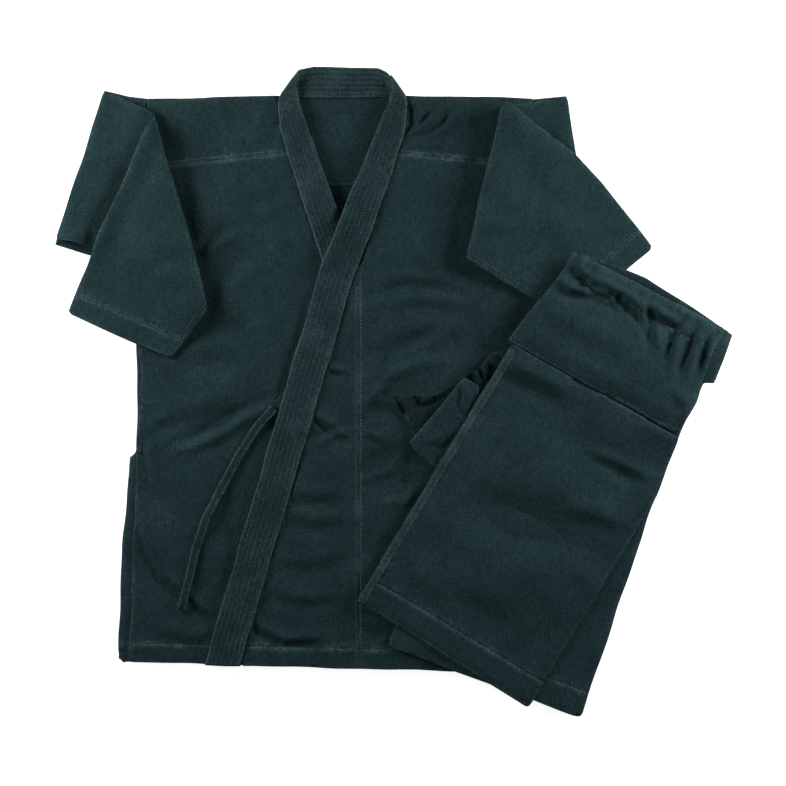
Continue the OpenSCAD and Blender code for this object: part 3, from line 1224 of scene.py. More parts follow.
    def _wear_and_highlight(self, flat: Points, gap: Points) -> Points:
        """Pale wear along seams, and a pale rim along edges that is wear with a painted highlight on the
        rolled edge.

        Args:
            flat: the ply's points.
            gap: their distances from the edge.

        Returns:
            How much of the pale colour each gets, from 0 to 1.
        """
        patchy = 0.55 + 0.5 * Ripple(0.6, 12, 60, 78).at(flat)
        # pale rim along every edge: wear, and a painted highlight where the ply rolls over
        worn = 0.55 * np.exp(-gap / 2.6) * np.clip(patchy + 0.2, 0.1, 1)
        for seam in self._shared():
            away, _, _ = nearest_on(flat, seam)
            band = np.exp(-(((away - 2.0) / 3.6) ** 2)) * np.clip(patchy, 0, 1.2)
            worn = np.maximum(worn, self.seam_wear * band)
        worn = np.maximum(worn, self.wear * np.clip(patchy, 0, 1))
        rub = Ripple(0.06, 30, 120, 77).at(flat)
        return np.clip(worn + np.clip(rub, -0.1, 0.12), 0, 1)

    def _declare(self, flat: Points, faces: list[tuple[int, ...]]) -> None:
        """Args:
            flat: the ply's points.
            faces: its triangles.
        """
        corners = flat[np.array(faces)]
        a, b = corners[:, 1] - corners[:, 0], corners[:, 2] - corners[:, 0]
        area = float(np.abs(a[:, 0] * b[:, 1] - a[:, 1] * b[:, 0]).sum() / 2) * MM * MM
        turn = math.radians(getattr(self.finish, "grain_deg", 0.0))
        spin = np.array([[math.cos(turn), -math.sin(turn)], [math.sin(turn), math.cos(turn)]])
        size = np.ptp(flat @ spin.T, axis=0) * MM
        share = area / (size[0] * size[1])
        if min(size) > 0.012 and share < 0.3:
            size = size * math.sqrt(share / 0.31)


@dataclass
class Stitching:
    """Rows of machine stitches sewn into a piece.

    Args:
        host: the piece that they are sewn into.
        carrier: what they move with.
        rows: the rows' lines, in millimetres.
        pitch: distance from one stitch to the next.
        length: a stitch's length.
        width: a stitch's width.
        proud: how far it stands out.
        thread: its thread.
        shine: how much paler the thread is drawn, from 0 to 1.
        name_end: what the host's name gets for it.
    """

    host: bpy.types.Object
    carrier: Carrier
    rows: list[Points]
    pitch: float = 4.4
    length: float = 3.0
    width: float = 0.75
    proud: float = 0.1
    thread: PlainFinish = THREAD
    shine: float = 0.42
    name_end: str = "_stitches"

    def build(self) -> bpy.types.Object | None:
        """Makes all the rows as one mesh on the host's surface.

        Returns:
            The new object, or None where no row met the cloth.
        """
        tree = surface_of(self.host)
        points, faces = [], []
        for row in self.rows:
            total = np.linalg.norm(np.diff(row, axis=0), axis=1).sum()
            count = int(total / self.pitch)
            if count < 2:
                continue
            spots = evenly(row, count)
            for a, b in zip(spots[:-1], spots[1:]):
                self._stitch(a, b, tree, points, faces)
        if not points:
            return None
        spots = np.array(points)
        worn = self.shine + Ripple(0.3, 14, 70, 23).at(spots[:, :2])
        worn = np.clip(worn - 0.3, 0, 1)
        threads = make_object(
            self.host.name + self.name_end, spots, faces, WARDROBE.get(self.thread), worn
        )
        self.carrier.take(threads)
        return threads

    def _stitch(
        self, a: Points, b: Points, tree: BVHTree, points: list, faces: list
    ) -> None:
        """Adds one stitch, a low rounded bead from a towards b.

        Args:
            a: where it starts.
            b: where the next one starts.
            tree: the host's surface.
            points: gets its points.
            faces: gets its faces.
        """
        way = (b - a) / max(np.linalg.norm(b - a), 1e-9)
        across = np.array([-way[1], way[0]]) * self.width / 2
        heights = []
        for p in (a, a + way * self.length):
            height = height_on(tree, p[0], p[1])
            if height is None:
                return
            heights.append(height)
        start = len(points)
        for share, fat in ((0.0, 0.15), (0.3, 1.0), (0.7, 1.0), (1.0, 0.15)):
            at = a + way * self.length * share
            z = heights[0] + (heights[1] - heights[0]) * share
            crown = z + self.proud + 0.28 * fat
            points.append((*(at + across * fat), z - 0.25))
            points.append((*at, crown))
            points.append((*(at - across * fat), z - 0.25))
        for k in range(3):
            i = start + 3 * k
            faces += [(i, i + 3, i + 4, i + 1), (i + 1, i + 4, i + 5, i + 2), (i, i + 2, i + 5, i + 3)]
        faces += [(start, start + 1, start + 2), (start + 9, start + 11, start + 10)]


@dataclass
class Band:
    """A padded band of folded cloth, quilted with rows of stitches along it.

    Args:
        name: the piece's name.
        nodes: the facing and the face, whose outlines give its edges.
        carrier: what it moves with.
        left: its left edge, from top to bottom.
        right: its right edge, from top to bottom.
        base: height of its underside.
        top: height of its top.
        rows: how many rows of stitches run along it.
        relief: height added.
        step: distance between its points along it.
        across: points across it.
        groove: how deep a row of stitches draws it in.
        seam_share: where the sewn-down edge's row runs, as a share of the width.
        seam_shine: how pale that row is.
        piece: the finished object.
    """

    name: str
    nodes: tuple[str, ...]
    carrier: Carrier
    left: Points
    right: Points
    base: float
    top: float
    rows: int = 6
    relief: Relief | None = None
    step: float = 3.0
    across: int = 43
    groove: float = 0.55
    seam_share: float = 0.955
    seam_shine: float = 0.55
    piece: bpy.types.Object | None = None

    def build(self) -> "Band":
        """Makes the band and its stitches.

        Returns:
            The band itself, with its piece.
        """
        length = np.linalg.norm(np.diff(self.left, axis=0), axis=1).sum()
        count = max(8, int(length / self.step))
        a, b = evenly(self.left, count), evenly(self.right, count)
        shares = (1 - np.cos(np.linspace(0, np.pi, self.across))) / 2
        shares = 0.35 * shares + 0.65 * np.linspace(0, 1, self.across)
        flat = np.array([p + (q - p) * s for p, q in zip(a, b) for s in shares])
        flat = flat + wander(flat)
        width = np.repeat(np.linalg.norm(b - a, axis=1), self.across)
        share = np.tile(shares, count)
        along = np.repeat(np.linspace(0, length, count), self.across)
        edge = np.minimum(share, 1 - share) * width
        rolled = np.sqrt(np.clip(1 - (1 - np.clip(edge / 3.2, 0, 1)) ** 2, 0, 1))
        thick = self.top - self.base
        lanes = share * (self.rows + 1)
        near_row = np.abs(lanes - np.round(lanes)) * width / (self.rows + 1)
        is_row = (np.round(lanes) > 0) & (np.round(lanes) < self.rows + 1)
        groove = np.where(is_row, self.groove * np.exp(-((near_row / 1.1) ** 2)), 0)
        pucker = 0.14 * np.sin(along * 2 * np.pi / 9.0 + 2.3 * np.round(lanes)) * rolled
        middle = self.base + thick / 2
        top = middle + thick / 2 * rolled - groove + pucker * 0.8
        low_z = middle - thick / 2 * rolled
        if self.relief is not None:
            lift = self.relief.at(flat)
            top, low_z = top + lift, low_z + lift
        points = np.vstack([np.column_stack([flat, top]), np.column_stack([flat, low_z])])
        points[:, 2] = np.maximum(points[:, 2], 0.1)
        faces = shell_faces(count, self.across)
        # pale rim along both edges: wear, with a painted highlight on the rolled edges; a little paler
        # beside the stitch rows
        worn = 0.8 * np.exp(-edge / 2.6) + np.where(is_row, 0.22 * np.exp(-near_row / 1.5), 0)
        worn = np.clip(worn + np.clip(Ripple(0.1, 25, 90, 5).at(flat), -0.1, 0.15), 0, 1)
        self.piece = make_object(
            self.name, points, faces, WARDROBE.get(BAND_CLOTH), np.concatenate([worn, worn])
        )
        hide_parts(*self.nodes)
        rows = []
        for k in range(1, self.rows + 1):
            rows.append(a + (b - a) * (k / (self.rows + 1)))
        Stitching(self.piece, self.carrier, rows, proud=0.12, thread=BAND_THREAD, shine=0.34).build()
        edge_row = [a + (b - a) * self.seam_share]
        Stitching(
            self.piece, self.carrier, edge_row, shine=self.seam_shine, name_end="_seam_stitches"
        ).build()
        self.carrier.take(self.piece)
        LOG.info("%s: %d points", self.name, len(points))
        return self


# ---------------------------------------------------------------- outlines and levels


def corner_near(loop: Points, spot: Sequence[float]) -> int:
    """Number of the outline's corner that lies nearest to a spot."""
    return int(np.argmin(np.linalg.norm(loop - np.array(spot, float), axis=1)))


def run_between(loop: Points, first: int, last: int, leftmost: bool) -> Points:
    """The part of a loop between two corners, by its left or its right side.

    Args:
        loop: the outline.
        first: the corner that the run starts at.
        last: the corner that it ends at.
        leftmost: takes the run that lies further left.

    Returns:
        The run's corners in order.
    """
    count = len(loop)
    ahead = [loop[(first + k) % count] for k in range((last - first) % count + 1)]
    behind = [loop[(first - k) % count] for k in range((first - last) % count + 1)]
    runs = [np.array(ahead), np.array(behind)]
    means = [evenly(r, 40)[:, 0].mean() for r in runs]
    return runs[int(np.argmin(means)) if leftmost else int(np.argmax(means))]


def moved(path: Points, distance: float) -> Points:
    """A path moved sideways, to the left of the way it runs.

    Args:
        path: the path's corners.
        distance: how far.

    Returns:
        The moved path.
    """
    ahead = np.gradient(path, axis=0)
    normal = np.column_stack([-ahead[:, 1], ahead[:, 0]])
    normal /= np.maximum(np.linalg.norm(normal, axis=1), 1e-9)[:, None]
    return path + normal * distance


def double_rows(line: Points, gaps: Sequence[float]) -> list[Points]:
    """Stitch rows beside a seam, at each distance from it."""
    fine = evenly(line, 40)
    return [moved(fine, g) for g in gaps]


# ---------------------------------------------------------------- the jacket


@dataclass
class JacketBack:
    """Back panel, inner back yoke, side seams and the folded tops of both sleeves."""

    spacing: float = 6.0

    def build(self) -> None:
        """Builds the pieces under the fronts."""
        jacket = Carrier("jacket")
        loose = Relief([Ripple(0.12, 40, 160, 3)])
        back = Ply(
            "back", ("back_panel", "back_hem"), jacket, spacing=self.spacing, relief=loose,
            sewn_above=395.0,
        )
        back.build()
        Stitching(back.piece, jacket, double_rows(back.seams[0], [2.0])).build()
        back.finish_piece()
        yoke = Ply("inner_back_yoke", ("back_yoke",), jacket, spacing=4.0, relief=loose).build()
        hem = run_between(
            yoke.loops[0], corner_near(yoke.loops[0], yoke.loops[0].min(0)),
            corner_near(yoke.loops[0], (yoke.loops[0][:, 0].max(), yoke.loops[0][:, 1].min())), False,
        )
        low_y = yoke.loops[0][:, 1].min()
        row = np.array([(hem[:, 0].min() + 4, low_y + 3), (hem[:, 0].max() - 4, low_y + 3)])
        Stitching(yoke.piece, jacket, [row]).build()
        yoke.finish_piece()
        for side in ("right", "left"):
            seam = Ply(f"{side}_side_seam_band", (f"{side}_side_seam",), jacket, spacing=4.0)
            seam.build().finish_piece()
            for ply in ("back", "front"):
                Ply(
                    f"{side}_sleeve_top_{ply}_ply", (f"{side}_sleeve_top_{ply}",), jacket,
                    SLEEVE_CLOTH, spacing=6.0, held="folded", sewn_above=-1e9,
                ).build().finish_piece()


@dataclass
class Fronts:
    """The covered right front and the closed left front with its turned-back edge."""

    right_creases: tuple[object, ...] = (
        Crease(((-158, -16), (-200, -34), (-241, -60), (-274, -76), (-306, -84)), 5.5, 8, 0.9),
        Crease(((-334, -50), (-338, -90), (-330, -130), (-312, -160)), 4.0, 8, 0.7),
        Crease(((-350, -150), (-344, -200), (-318, -256), (-262, -302), (-236, -322)), 4.6, 7, 0.9),
        Crease(((-348, -60), (-330, -40), (-300, -30)), 2.6, 9),
        Crease(((-215, 222), (-240, 208), (-266, 188)), 4.4, 8, 0.9),
        Crease(((-160, 190), (-195, 172), (-230, 140), (-250, 98)), 2.8, 13),
        Crease(((-140, 268), (-175, 250), (-205, 244)), 2.4, 10),
        Crease(((-330, -10), (-280, -20), (-240, -10), (-200, 30)), 2.4, 15),
        Crease(((-330, 40), (-290, 60), (-240, 64), (-190, 40)), 2.2, 16),
        Crease(((-168, -190), (-200, -220), (-214, -270)), 2.4, 12),
        Crease(((-330, -330), (-280, -340), (-230, -336)), 2.6, 10),
        Crease(((-176, 404), (-190, 372), (-186, 345)), 2.2, 7),
        Crease(((-250, 404), (-232, 374), (-224, 348)), 2.2, 8),
        Crease(((-150, 380), (-160, 350), (-164, 330)), 1.8, 5),
        Swell((-250, 250), 2.4, 60, 36, 20),
        Swell((-220, 0), 2.6, 90, 40, 35),
        Swell((-270, -210), 3.0, 60, 40, -60),
        Swell((-180, 110), 2.0, 70, 34, -60),
    )
    left_creases: tuple[object, ...] = (
        Crease(((27, 408), (36, 392), (34, 376), (26, 360)), 4.8, 4.6, 0.9),
        Crease(((68, 402), (60, 386), (44, 370), (18, 356)), 5.4, 5.2, 0.9),
        Crease(((90, 388), (72, 368), (52, 354), (28, 346)), 4.6, 5.0, 0.9),
        Crease(((20, 344), (52, 342), (76, 350)), 2.4, 6, 0.5),
        Crease(((90, 396), (84, 372), (96, 350)), 3.0, 7, 0.8),
        Crease(((118, 332), (92, 322), (60, 328)), 2.2, 7),
        Crease(((64, 302), (56, 270), (44, 236)), 2.4, 8),
        Crease(((-24, 150), (20, 162), (70, 158), (112, 142)), 3.6, 10, 0.8),
        Crease(((-30, 118), (30, 132), (90, 128), (130, 110)), 2.8, 10),
        Crease(((-40, 60), (10, 88), (70, 92), (118, 84)), 2.6, 13),
        Crease(((100, 104), (66, 74), (20, 46), (-30, 20)), 3.6, 10, 0.8),
        Crease(((84, 46), (40, 40), (0, 24), (-40, -12)), 4.6, 9, 0.9),
        Crease(((-42, -30), (-20, -2), (-2, 12)), 3.2, 7),
        Crease(((-40, -58), (-28, -60), (-10, -68)), 3.2, 5),
        Crease(((18, -84), (-4, -110), (-40, -126)), 4.2, 11, 1.0),
        Crease(((56, -130), (20, -150), (-30, -156)), 3.2, 12, 0.9),
        Crease(((-35, -236), (0, -244), (40, -230)), 2.4, 10),
        Crease(((-38, -318), (-10, -326), (30, -344)), 2.6, 9),
        Swell((60, 230), 2.2, 50, 30, 60),
        Swell((0, 190), 2.0, 44, 26, 80),
        Swell((-10, -60), 3.0, 34, 26, 60),
    )
    overlap_creases: tuple[object, ...] = (
        Crease(((-88, 36), (-72, 30), (-54, 27)), 4.2, 4.5, 0.9),
        Crease(((-112, -26), (-90, -42), (-62, -64)), 4.6, 5.5, 0.9),
        Crease(((-60, -54), (-84, -62), (-108, -76)), 2.6, 6),
        Crease(((-152, -135), (-110, -142), (-66, -138)), 2.8, 11),
        Crease(((-160, -160), (-110, -176), (-58, -172)), 3.0, 12, 0.9),
        Crease(((-172, -226), (-120, -236), (-60, -222)), 2.4, 12),
        Crease(((-200, -306), (-178, -330), (-150, -345), (-96, -342)), 4.4, 7, 0.9),
        Crease(((-180, -270), (-130, -286), (-70, -280)), 2.2, 10),
        Swell((-100, -110), 2.2, 40, 26, 60),
        Swell((-110, -290), 2.2, 50, 24, 70),
    )
    hinge_x: float = -45.1
    cut_y: float = 175.0

    def build(self) -> None:
        """Builds the fronts with their yokes, hems and stitches."""
        jacket = Carrier("jacket")
        covers = [
            node_loop(n)
            for n in ("right_sleeve_end_front", "right_cuff", "right_sleeve_fold_front")
        ]
        over_right = [node_loop(n) for n in ("overlap_panel", "left_lapel_face", "overlap_hem")]
        right = Ply(
            "right_front", ("right_front_panel", "right_front_yoke", "right_front_hem"), jacket,
            spacing=4.2, sewn_above=395.0,
            relief=Relief(
                [*self.right_creases, Ripple(0.8, 40, 170, 11), Crumple(0.55, 26, 12)],
                covers + over_right + [node_loop("left_front_panel"), node_loop("left_collar_face")],
                13.0,
            ),
        ).build()
        rows = self._seam_rows(right)
        Stitching(right.piece, jacket, rows).build()
        right.finish_piece()
        trousers = ("right_leg_front", "crotch_gusset", "left_leg_front", "right_seat_front")
        over_left = [node_loop(n) for n in ("left_sleeve_end_front", "left_sleeve_fold_front")]
        over_left += [node_loop(n) for n in trousers]
        shared = [
            *self.left_creases, *self.overlap_creases, Ripple(0.85, 40, 170, 21),
            Crumple(0.6, 24, 22), Crumple(1.6, 20, 24, (0.0, -40.0), 70.0),
        ]
        under = [node_loop("right_lapel_face"), node_loop("tie_stay")]
        lapel = [node_loop("left_lapel_face")]
        settle = Rise(((240, 200), (240, -390)), -4.2, 150)
        left = Ply(
            "left_front", ("left_front_panel", "left_front_yoke", "left_front_hem"), jacket,
            spacing=4.2, sewn_above=395.0,
            relief=Relief([Relief(shared, over_left, 13.0), settle], supports=under), sewn_x=self.hinge_x,
        ).build()
        rows = self._seam_rows(left)
        line = np.array([(self.hinge_x + 1.6, self.cut_y - 4), (self.hinge_x + 1.6, -360)])
        rows.append(line)
        Stitching(left.piece, jacket, rows).build()
        left.finish_piece()
        flap = flap_carrier()
        overlap = Ply(
            "front_edge_overlap", ("overlap_panel", "overlap_hem"), flap, spacing=4.0,
            relief=Relief([Relief(shared, lapel, 6.0)], over_left, 13.0, under), sewn_x=self.hinge_x,
        ).build()
        rows = [r for s in overlap.seams for r in double_rows(s, [2.0])]
        rows.append(np.array([(self.hinge_x - 5.5, self.cut_y - 22), (self.hinge_x - 5.5, -392)]))
        Stitching(overlap.piece, flap, rows).build()
        overlap.finish_piece()

    def _seam_rows(self, ply: Ply) -> list[Points]:
        """Two rows on each yoke seam and one on the hem.

        Args:
            ply: the front.

        Returns:
            The rows' lines.
        """
        rows = []
        for seam in ply.seams:
            is_hem = seam[:, 1].mean() < 0
            rows += double_rows(seam, [2.0] if is_hem else [-3.4, 3.4])
        return rows


def flap_carrier() -> Carrier:
    """The carrier of the closed front's edge, between the jacket and the front edge."""
    return Carrier("jacket", "front_edge", (-45.1, 204.0, 8.1), (-45.1, 84.0, 8.1))


@dataclass
class CollarBands:
    """The quilted band round the neck and down both fronts, with its cores.

    Args:
        rows: rows of stitches along a lapel.
        neck_top: the back collar's upper edge.
        neck_foot: its lower edge.
        right_rise: how the covered lapel stands up at the neck.
        left_rise: how the closed one does.
    """

    rows: int = 6
    neck_top: tuple[tuple[float, float], ...] = (
        (-137, 441), (-128.8, 450.3), (-107.8, 454.6), (-86.8, 454.6), (-58.8, 453.1),
        (-19.6, 451.7), (-9, 446.5), (1.5, 437),
    )
    neck_foot: tuple[tuple[float, float], ...] = ((-143, 411), (-70, 410.4), (9, 411))
    right_rise: Rise = Rise(((-128, 448), (-132, 420), (-122, 381), (-73, 248)), 6.5, 26)
    left_rise: Rise = Rise(((-2, 438), (-4, 406), (-13, 385), (-70, 248), (-97, 182)), 6.5, 26)

    def build(self) -> None:
        """Builds the back collar, both lapels and the hidden cores."""
        jacket = Carrier("jacket")
        self._back(jacket)
        self._right(jacket)
        self._left(flap_carrier())
        cores = (
            ("back_collar_core", jacket, Relief([])),
            ("right_lapel_core", jacket, Relief([self.right_rise], self._over_right())),
            ("left_collar_core", flap_carrier(), Relief([self.left_rise])),
            ("left_lapel_core", flap_carrier(), Relief([self.left_rise])),
        )
        for node, carrier, relief in cores:
            Ply(
                node.replace("_core", "_interlining"), (node,), carrier, INTERLINING, Slot.CORE,
                relief=relief, raise_by=-0.5, spacing=8.0, inset=2.0, thin=0.5,
            ).build().finish_piece()

    def _back(self, jacket: Carrier) -> None:
        """The band across the back of the neck, seen from its inner side.

        Args:
            jacket: what the band moves with.
        """
        dip = -1.6
        Band(
            "back_collar", ("back_collar_facing", "back_collar_face"), jacket,
            np.array(self.neck_top, float), np.array(self.neck_foot, float),
            low("back_collar_facing"), high("back_collar_face") + 1.0, 5, across=37, step=2.5,
            relief=Relief(
                [Rise(((-138, 450), (-138, 408)), dip, 26), Rise(((2, 450), (2, 408)), dip, 26)]
            ),
            seam_shine=0.35,
        ).build()

    @staticmethod
    def _capped(path: Points, cap: Sequence[Sequence[float]]) -> Points:
        """A lapel's edge with its top end led up round the neck.

        Args:
            path: the edge, from top to bottom.
            cap: the corners that its top end passes through instead.

        Returns:
            The whole edge.
        """
        head = np.array(cap, float)
        return np.vstack([head, path[path[:, 1] < head[-1][1] - 5]])

    def _right(self, jacket: Carrier) -> None:
        """The covered front's lapel.

        Args:
            jacket: what the band moves with.
        """
        loop = node_loop("right_lapel_face")
        top = corner_near(loop, (loop[:, 0].min() + 14, loop[:, 1].max()))
        low_left = corner_near(loop, (loop[:, 0].max() - 48, loop[:, 1].min()))
        low_right = corner_near(loop, (loop[:, 0].max(), loop[:, 1].min()))
        outer = run_between(loop, top, low_left, True)
        inner = run_between(loop, top, low_right, False)
        Band(
            "right_lapel", ("right_lapel_facing", "right_lapel_face"), jacket,
            self._capped(outer, ((-129.5, 448.5), (-142.8, 433.5), (-155.4, 417.4), (-160, 406))),
            self._capped(inner, ((-127.5, 446.5), (-131.6, 437), (-132.4, 422), (-130, 407))),
            low("right_lapel_facing"), high("right_lapel_face"), self.rows, seam_share=0.05,
            seam_shine=0.32,
            relief=Relief(
                [
                    self.right_rise, Rise(((-150, 432), (-134, 436)), 2.6, 34), Ripple(0.3, 50, 200, 33),
                ],
                self._over_right(),
            ),
        ).build()

    @staticmethod
    def _over_right() -> list[Points]:
        """Outlines of the plies that press on the covered lapel."""
        names = ("left_lapel_face", "left_collar_face", "overlap_panel", "left_front_panel")
        return [node_loop(n) for n in names]

    def _left(self, flap: Carrier) -> None:
        """The closed front's lapel, from the collar to the hem in one piece.

        Args:
            flap: what the band moves with.
        """
        upper, lower = node_loop("left_collar_face"), node_loop("left_lapel_face")
        top = corner_near(upper, (upper[:, 0].max() - 14, upper[:, 1].max()))
        cut_left = corner_near(upper, (upper[:, 0].min(), upper[:, 1].min()))
        cut_right = corner_near(upper, (upper[:, 0].min() + 48, upper[:, 1].min()))
        a = run_between(upper, top, cut_left, True)
        b = run_between(upper, top, cut_right, False)
        top_left = corner_near(lower, (lower[:, 0].max() - 48, lower[:, 1].max()))
        top_right = corner_near(lower, (lower[:, 0].max(), lower[:, 1].max()))
        low_left = corner_near(lower, (lower[:, 0].min(), lower[:, 1].min()))
        low_right = corner_near(lower, (lower[:, 0].min() + 44, lower[:, 1].min()))
        c = run_between(lower, top_left, low_left, True)
        d = run_between(lower, top_right, low_right, False)
        Band(
            "left_lapel",
            ("left_collar_facing", "left_collar_face", "left_lapel_facing", "left_lapel_face"), flap,
            np.vstack([self._capped(a, ((-3.2, 439), (-1, 429), (-1.2, 417), (-4.6, 398))), c[1:]]),
            np.vstack([self._capped(b, ((-1.6, 440), (8, 427.6), (18.6, 414), (21.6, 402))), d[1:]]),
            low("left_lapel_facing"), high("left_lapel_face") + 0.6, self.rows,
            relief=Relief(
                [
                    self.left_rise, Ripple(0.6, 50, 220, 31),
                    Crease(((-104, 60), (-84, 46), (-62, 40)), 1.2, 6),
                    Crease(((-150, -50), (-120, -56), (-100, -50)), 1.0, 8),
                ]
            ),
        ).build()


@dataclass
class Tie:
    """The flat tie sewn under the closed front's edge, and its stay."""

    width: float = 12.0
    thick: float = 1.6
    across: int = 13
    rests_on: str = "right_front"
    path: tuple[tuple[float, float], ...] = (
        (-165, -23.3), (-188, -48.3), (-213, -87.3), (-241, -140.3),
        (-260, -177.3), (-274, -221.3), (-288, -280.3), (-294, -305.3),
    )

    def build(self) -> None:
        """Builds the ribbon with a slight twist, and its stitches."""
        line = evenly(np.array(self.path, float), 110)
        ahead = np.gradient(line, axis=0)
        ahead /= np.linalg.norm(ahead, axis=1)[:, None]
        normal = np.column_stack([-ahead[:, 1], ahead[:, 0]])
        share = np.linspace(0, 1, len(line))
        rests = self._surface(line)
        twist = 34 * np.exp(-(((share - 0.52) / 0.1) ** 2)) + 10 * np.sin(share * 9)
        lift = 1.2 + 2.8 * np.exp(-(((share - 0.52) / 0.12) ** 2)) + 0.8 * np.sin(share * 14) ** 2
        points = []
        for side in (1, -1):
            for i, p in enumerate(line):
                for c in np.linspace(-1, 1, self.across):
                    lean = math.radians(twist[i])
                    off = c * self.width / 2
                    flat = p + normal[i] * off * math.cos(lean)
                    edge = math.sqrt(max(0.0, 1 - abs(c) ** 6))
                    groove = 0.22 * math.exp(-(((abs(c) - 0.72) / 0.1) ** 2))
                    z = rests[i] + self.thick / 2 + lift[i] + off * math.sin(lean)
                    z += side * (self.thick / 2 * (0.25 + 0.75 * edge) - groove)
                    points.append((flat[0], flat[1], z))
        points = np.array(points)
        faces = shell_faces(len(line), self.across)
        # paler towards both edges: wear, with a painted highlight on the tie's rolled edges
        worn = np.tile(np.exp(-(1 - np.abs(np.linspace(-1, 1, self.across))) * 4), len(line) * 2)
        ribbon = make_object("tie_ribbon", points, faces, WARDROBE.get(TIE_CLOTH), worn)
        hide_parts("front_tie")
        carrier = Carrier("tie")
        rows = [
            line + normal * (s * self.width * 0.36) * np.cos(np.radians(twist))[:, None]
            for s in (-1, 1)
        ]
        Stitching(ribbon, carrier, rows, pitch=3.6, length=2.4, width=0.5, proud=0.05, shine=0.3).build()
        carrier.take(ribbon)
        self._stay()

    def _surface(self, line: Points) -> Points:
        """Height of the covered front along the tie, smoothed as the stiff tie spans it.

        Args:
            line: the tie's middle line.

        Returns:
            The height at each of its points.
        """
        tree = surface_of(bpy.data.objects[self.rests_on])
        found = []
        for x, y in line:
            best = low("front_tie")
            for dx in (-5, 0, 5):
                height = height_on(tree, x + dx, y)
                best = best if height is None else max(best, height)
            found.append(best)
        found = np.array(found)
        padded = np.pad(found, 4, mode="edge")
        highest = np.max([padded[k : k + len(found)] for k in range(9)], axis=0)
        padded = np.pad(highest, 3, mode="edge")
        return np.mean([padded[k : k + len(found)] for k in range(7)], axis=0)

    @staticmethod
    def _stay() -> None:
        """The patch under the front's edge that the tie is sewn to."""
        strip = np.array([(-171.0, -21.0), (-162.4, -29.0), (-131.0, 4.6), (-139.6, 12.6)])
        Ply(
            "tie_stay_patch", ("tie_stay",), Carrier("front_edge"), TIE_CLOTH, Slot.TIE,
            spacing=3.0, raise_by=0.4, outline=strip,
        ).build().finish_piece()


# ---------------------------------------------------------------- the sleeves


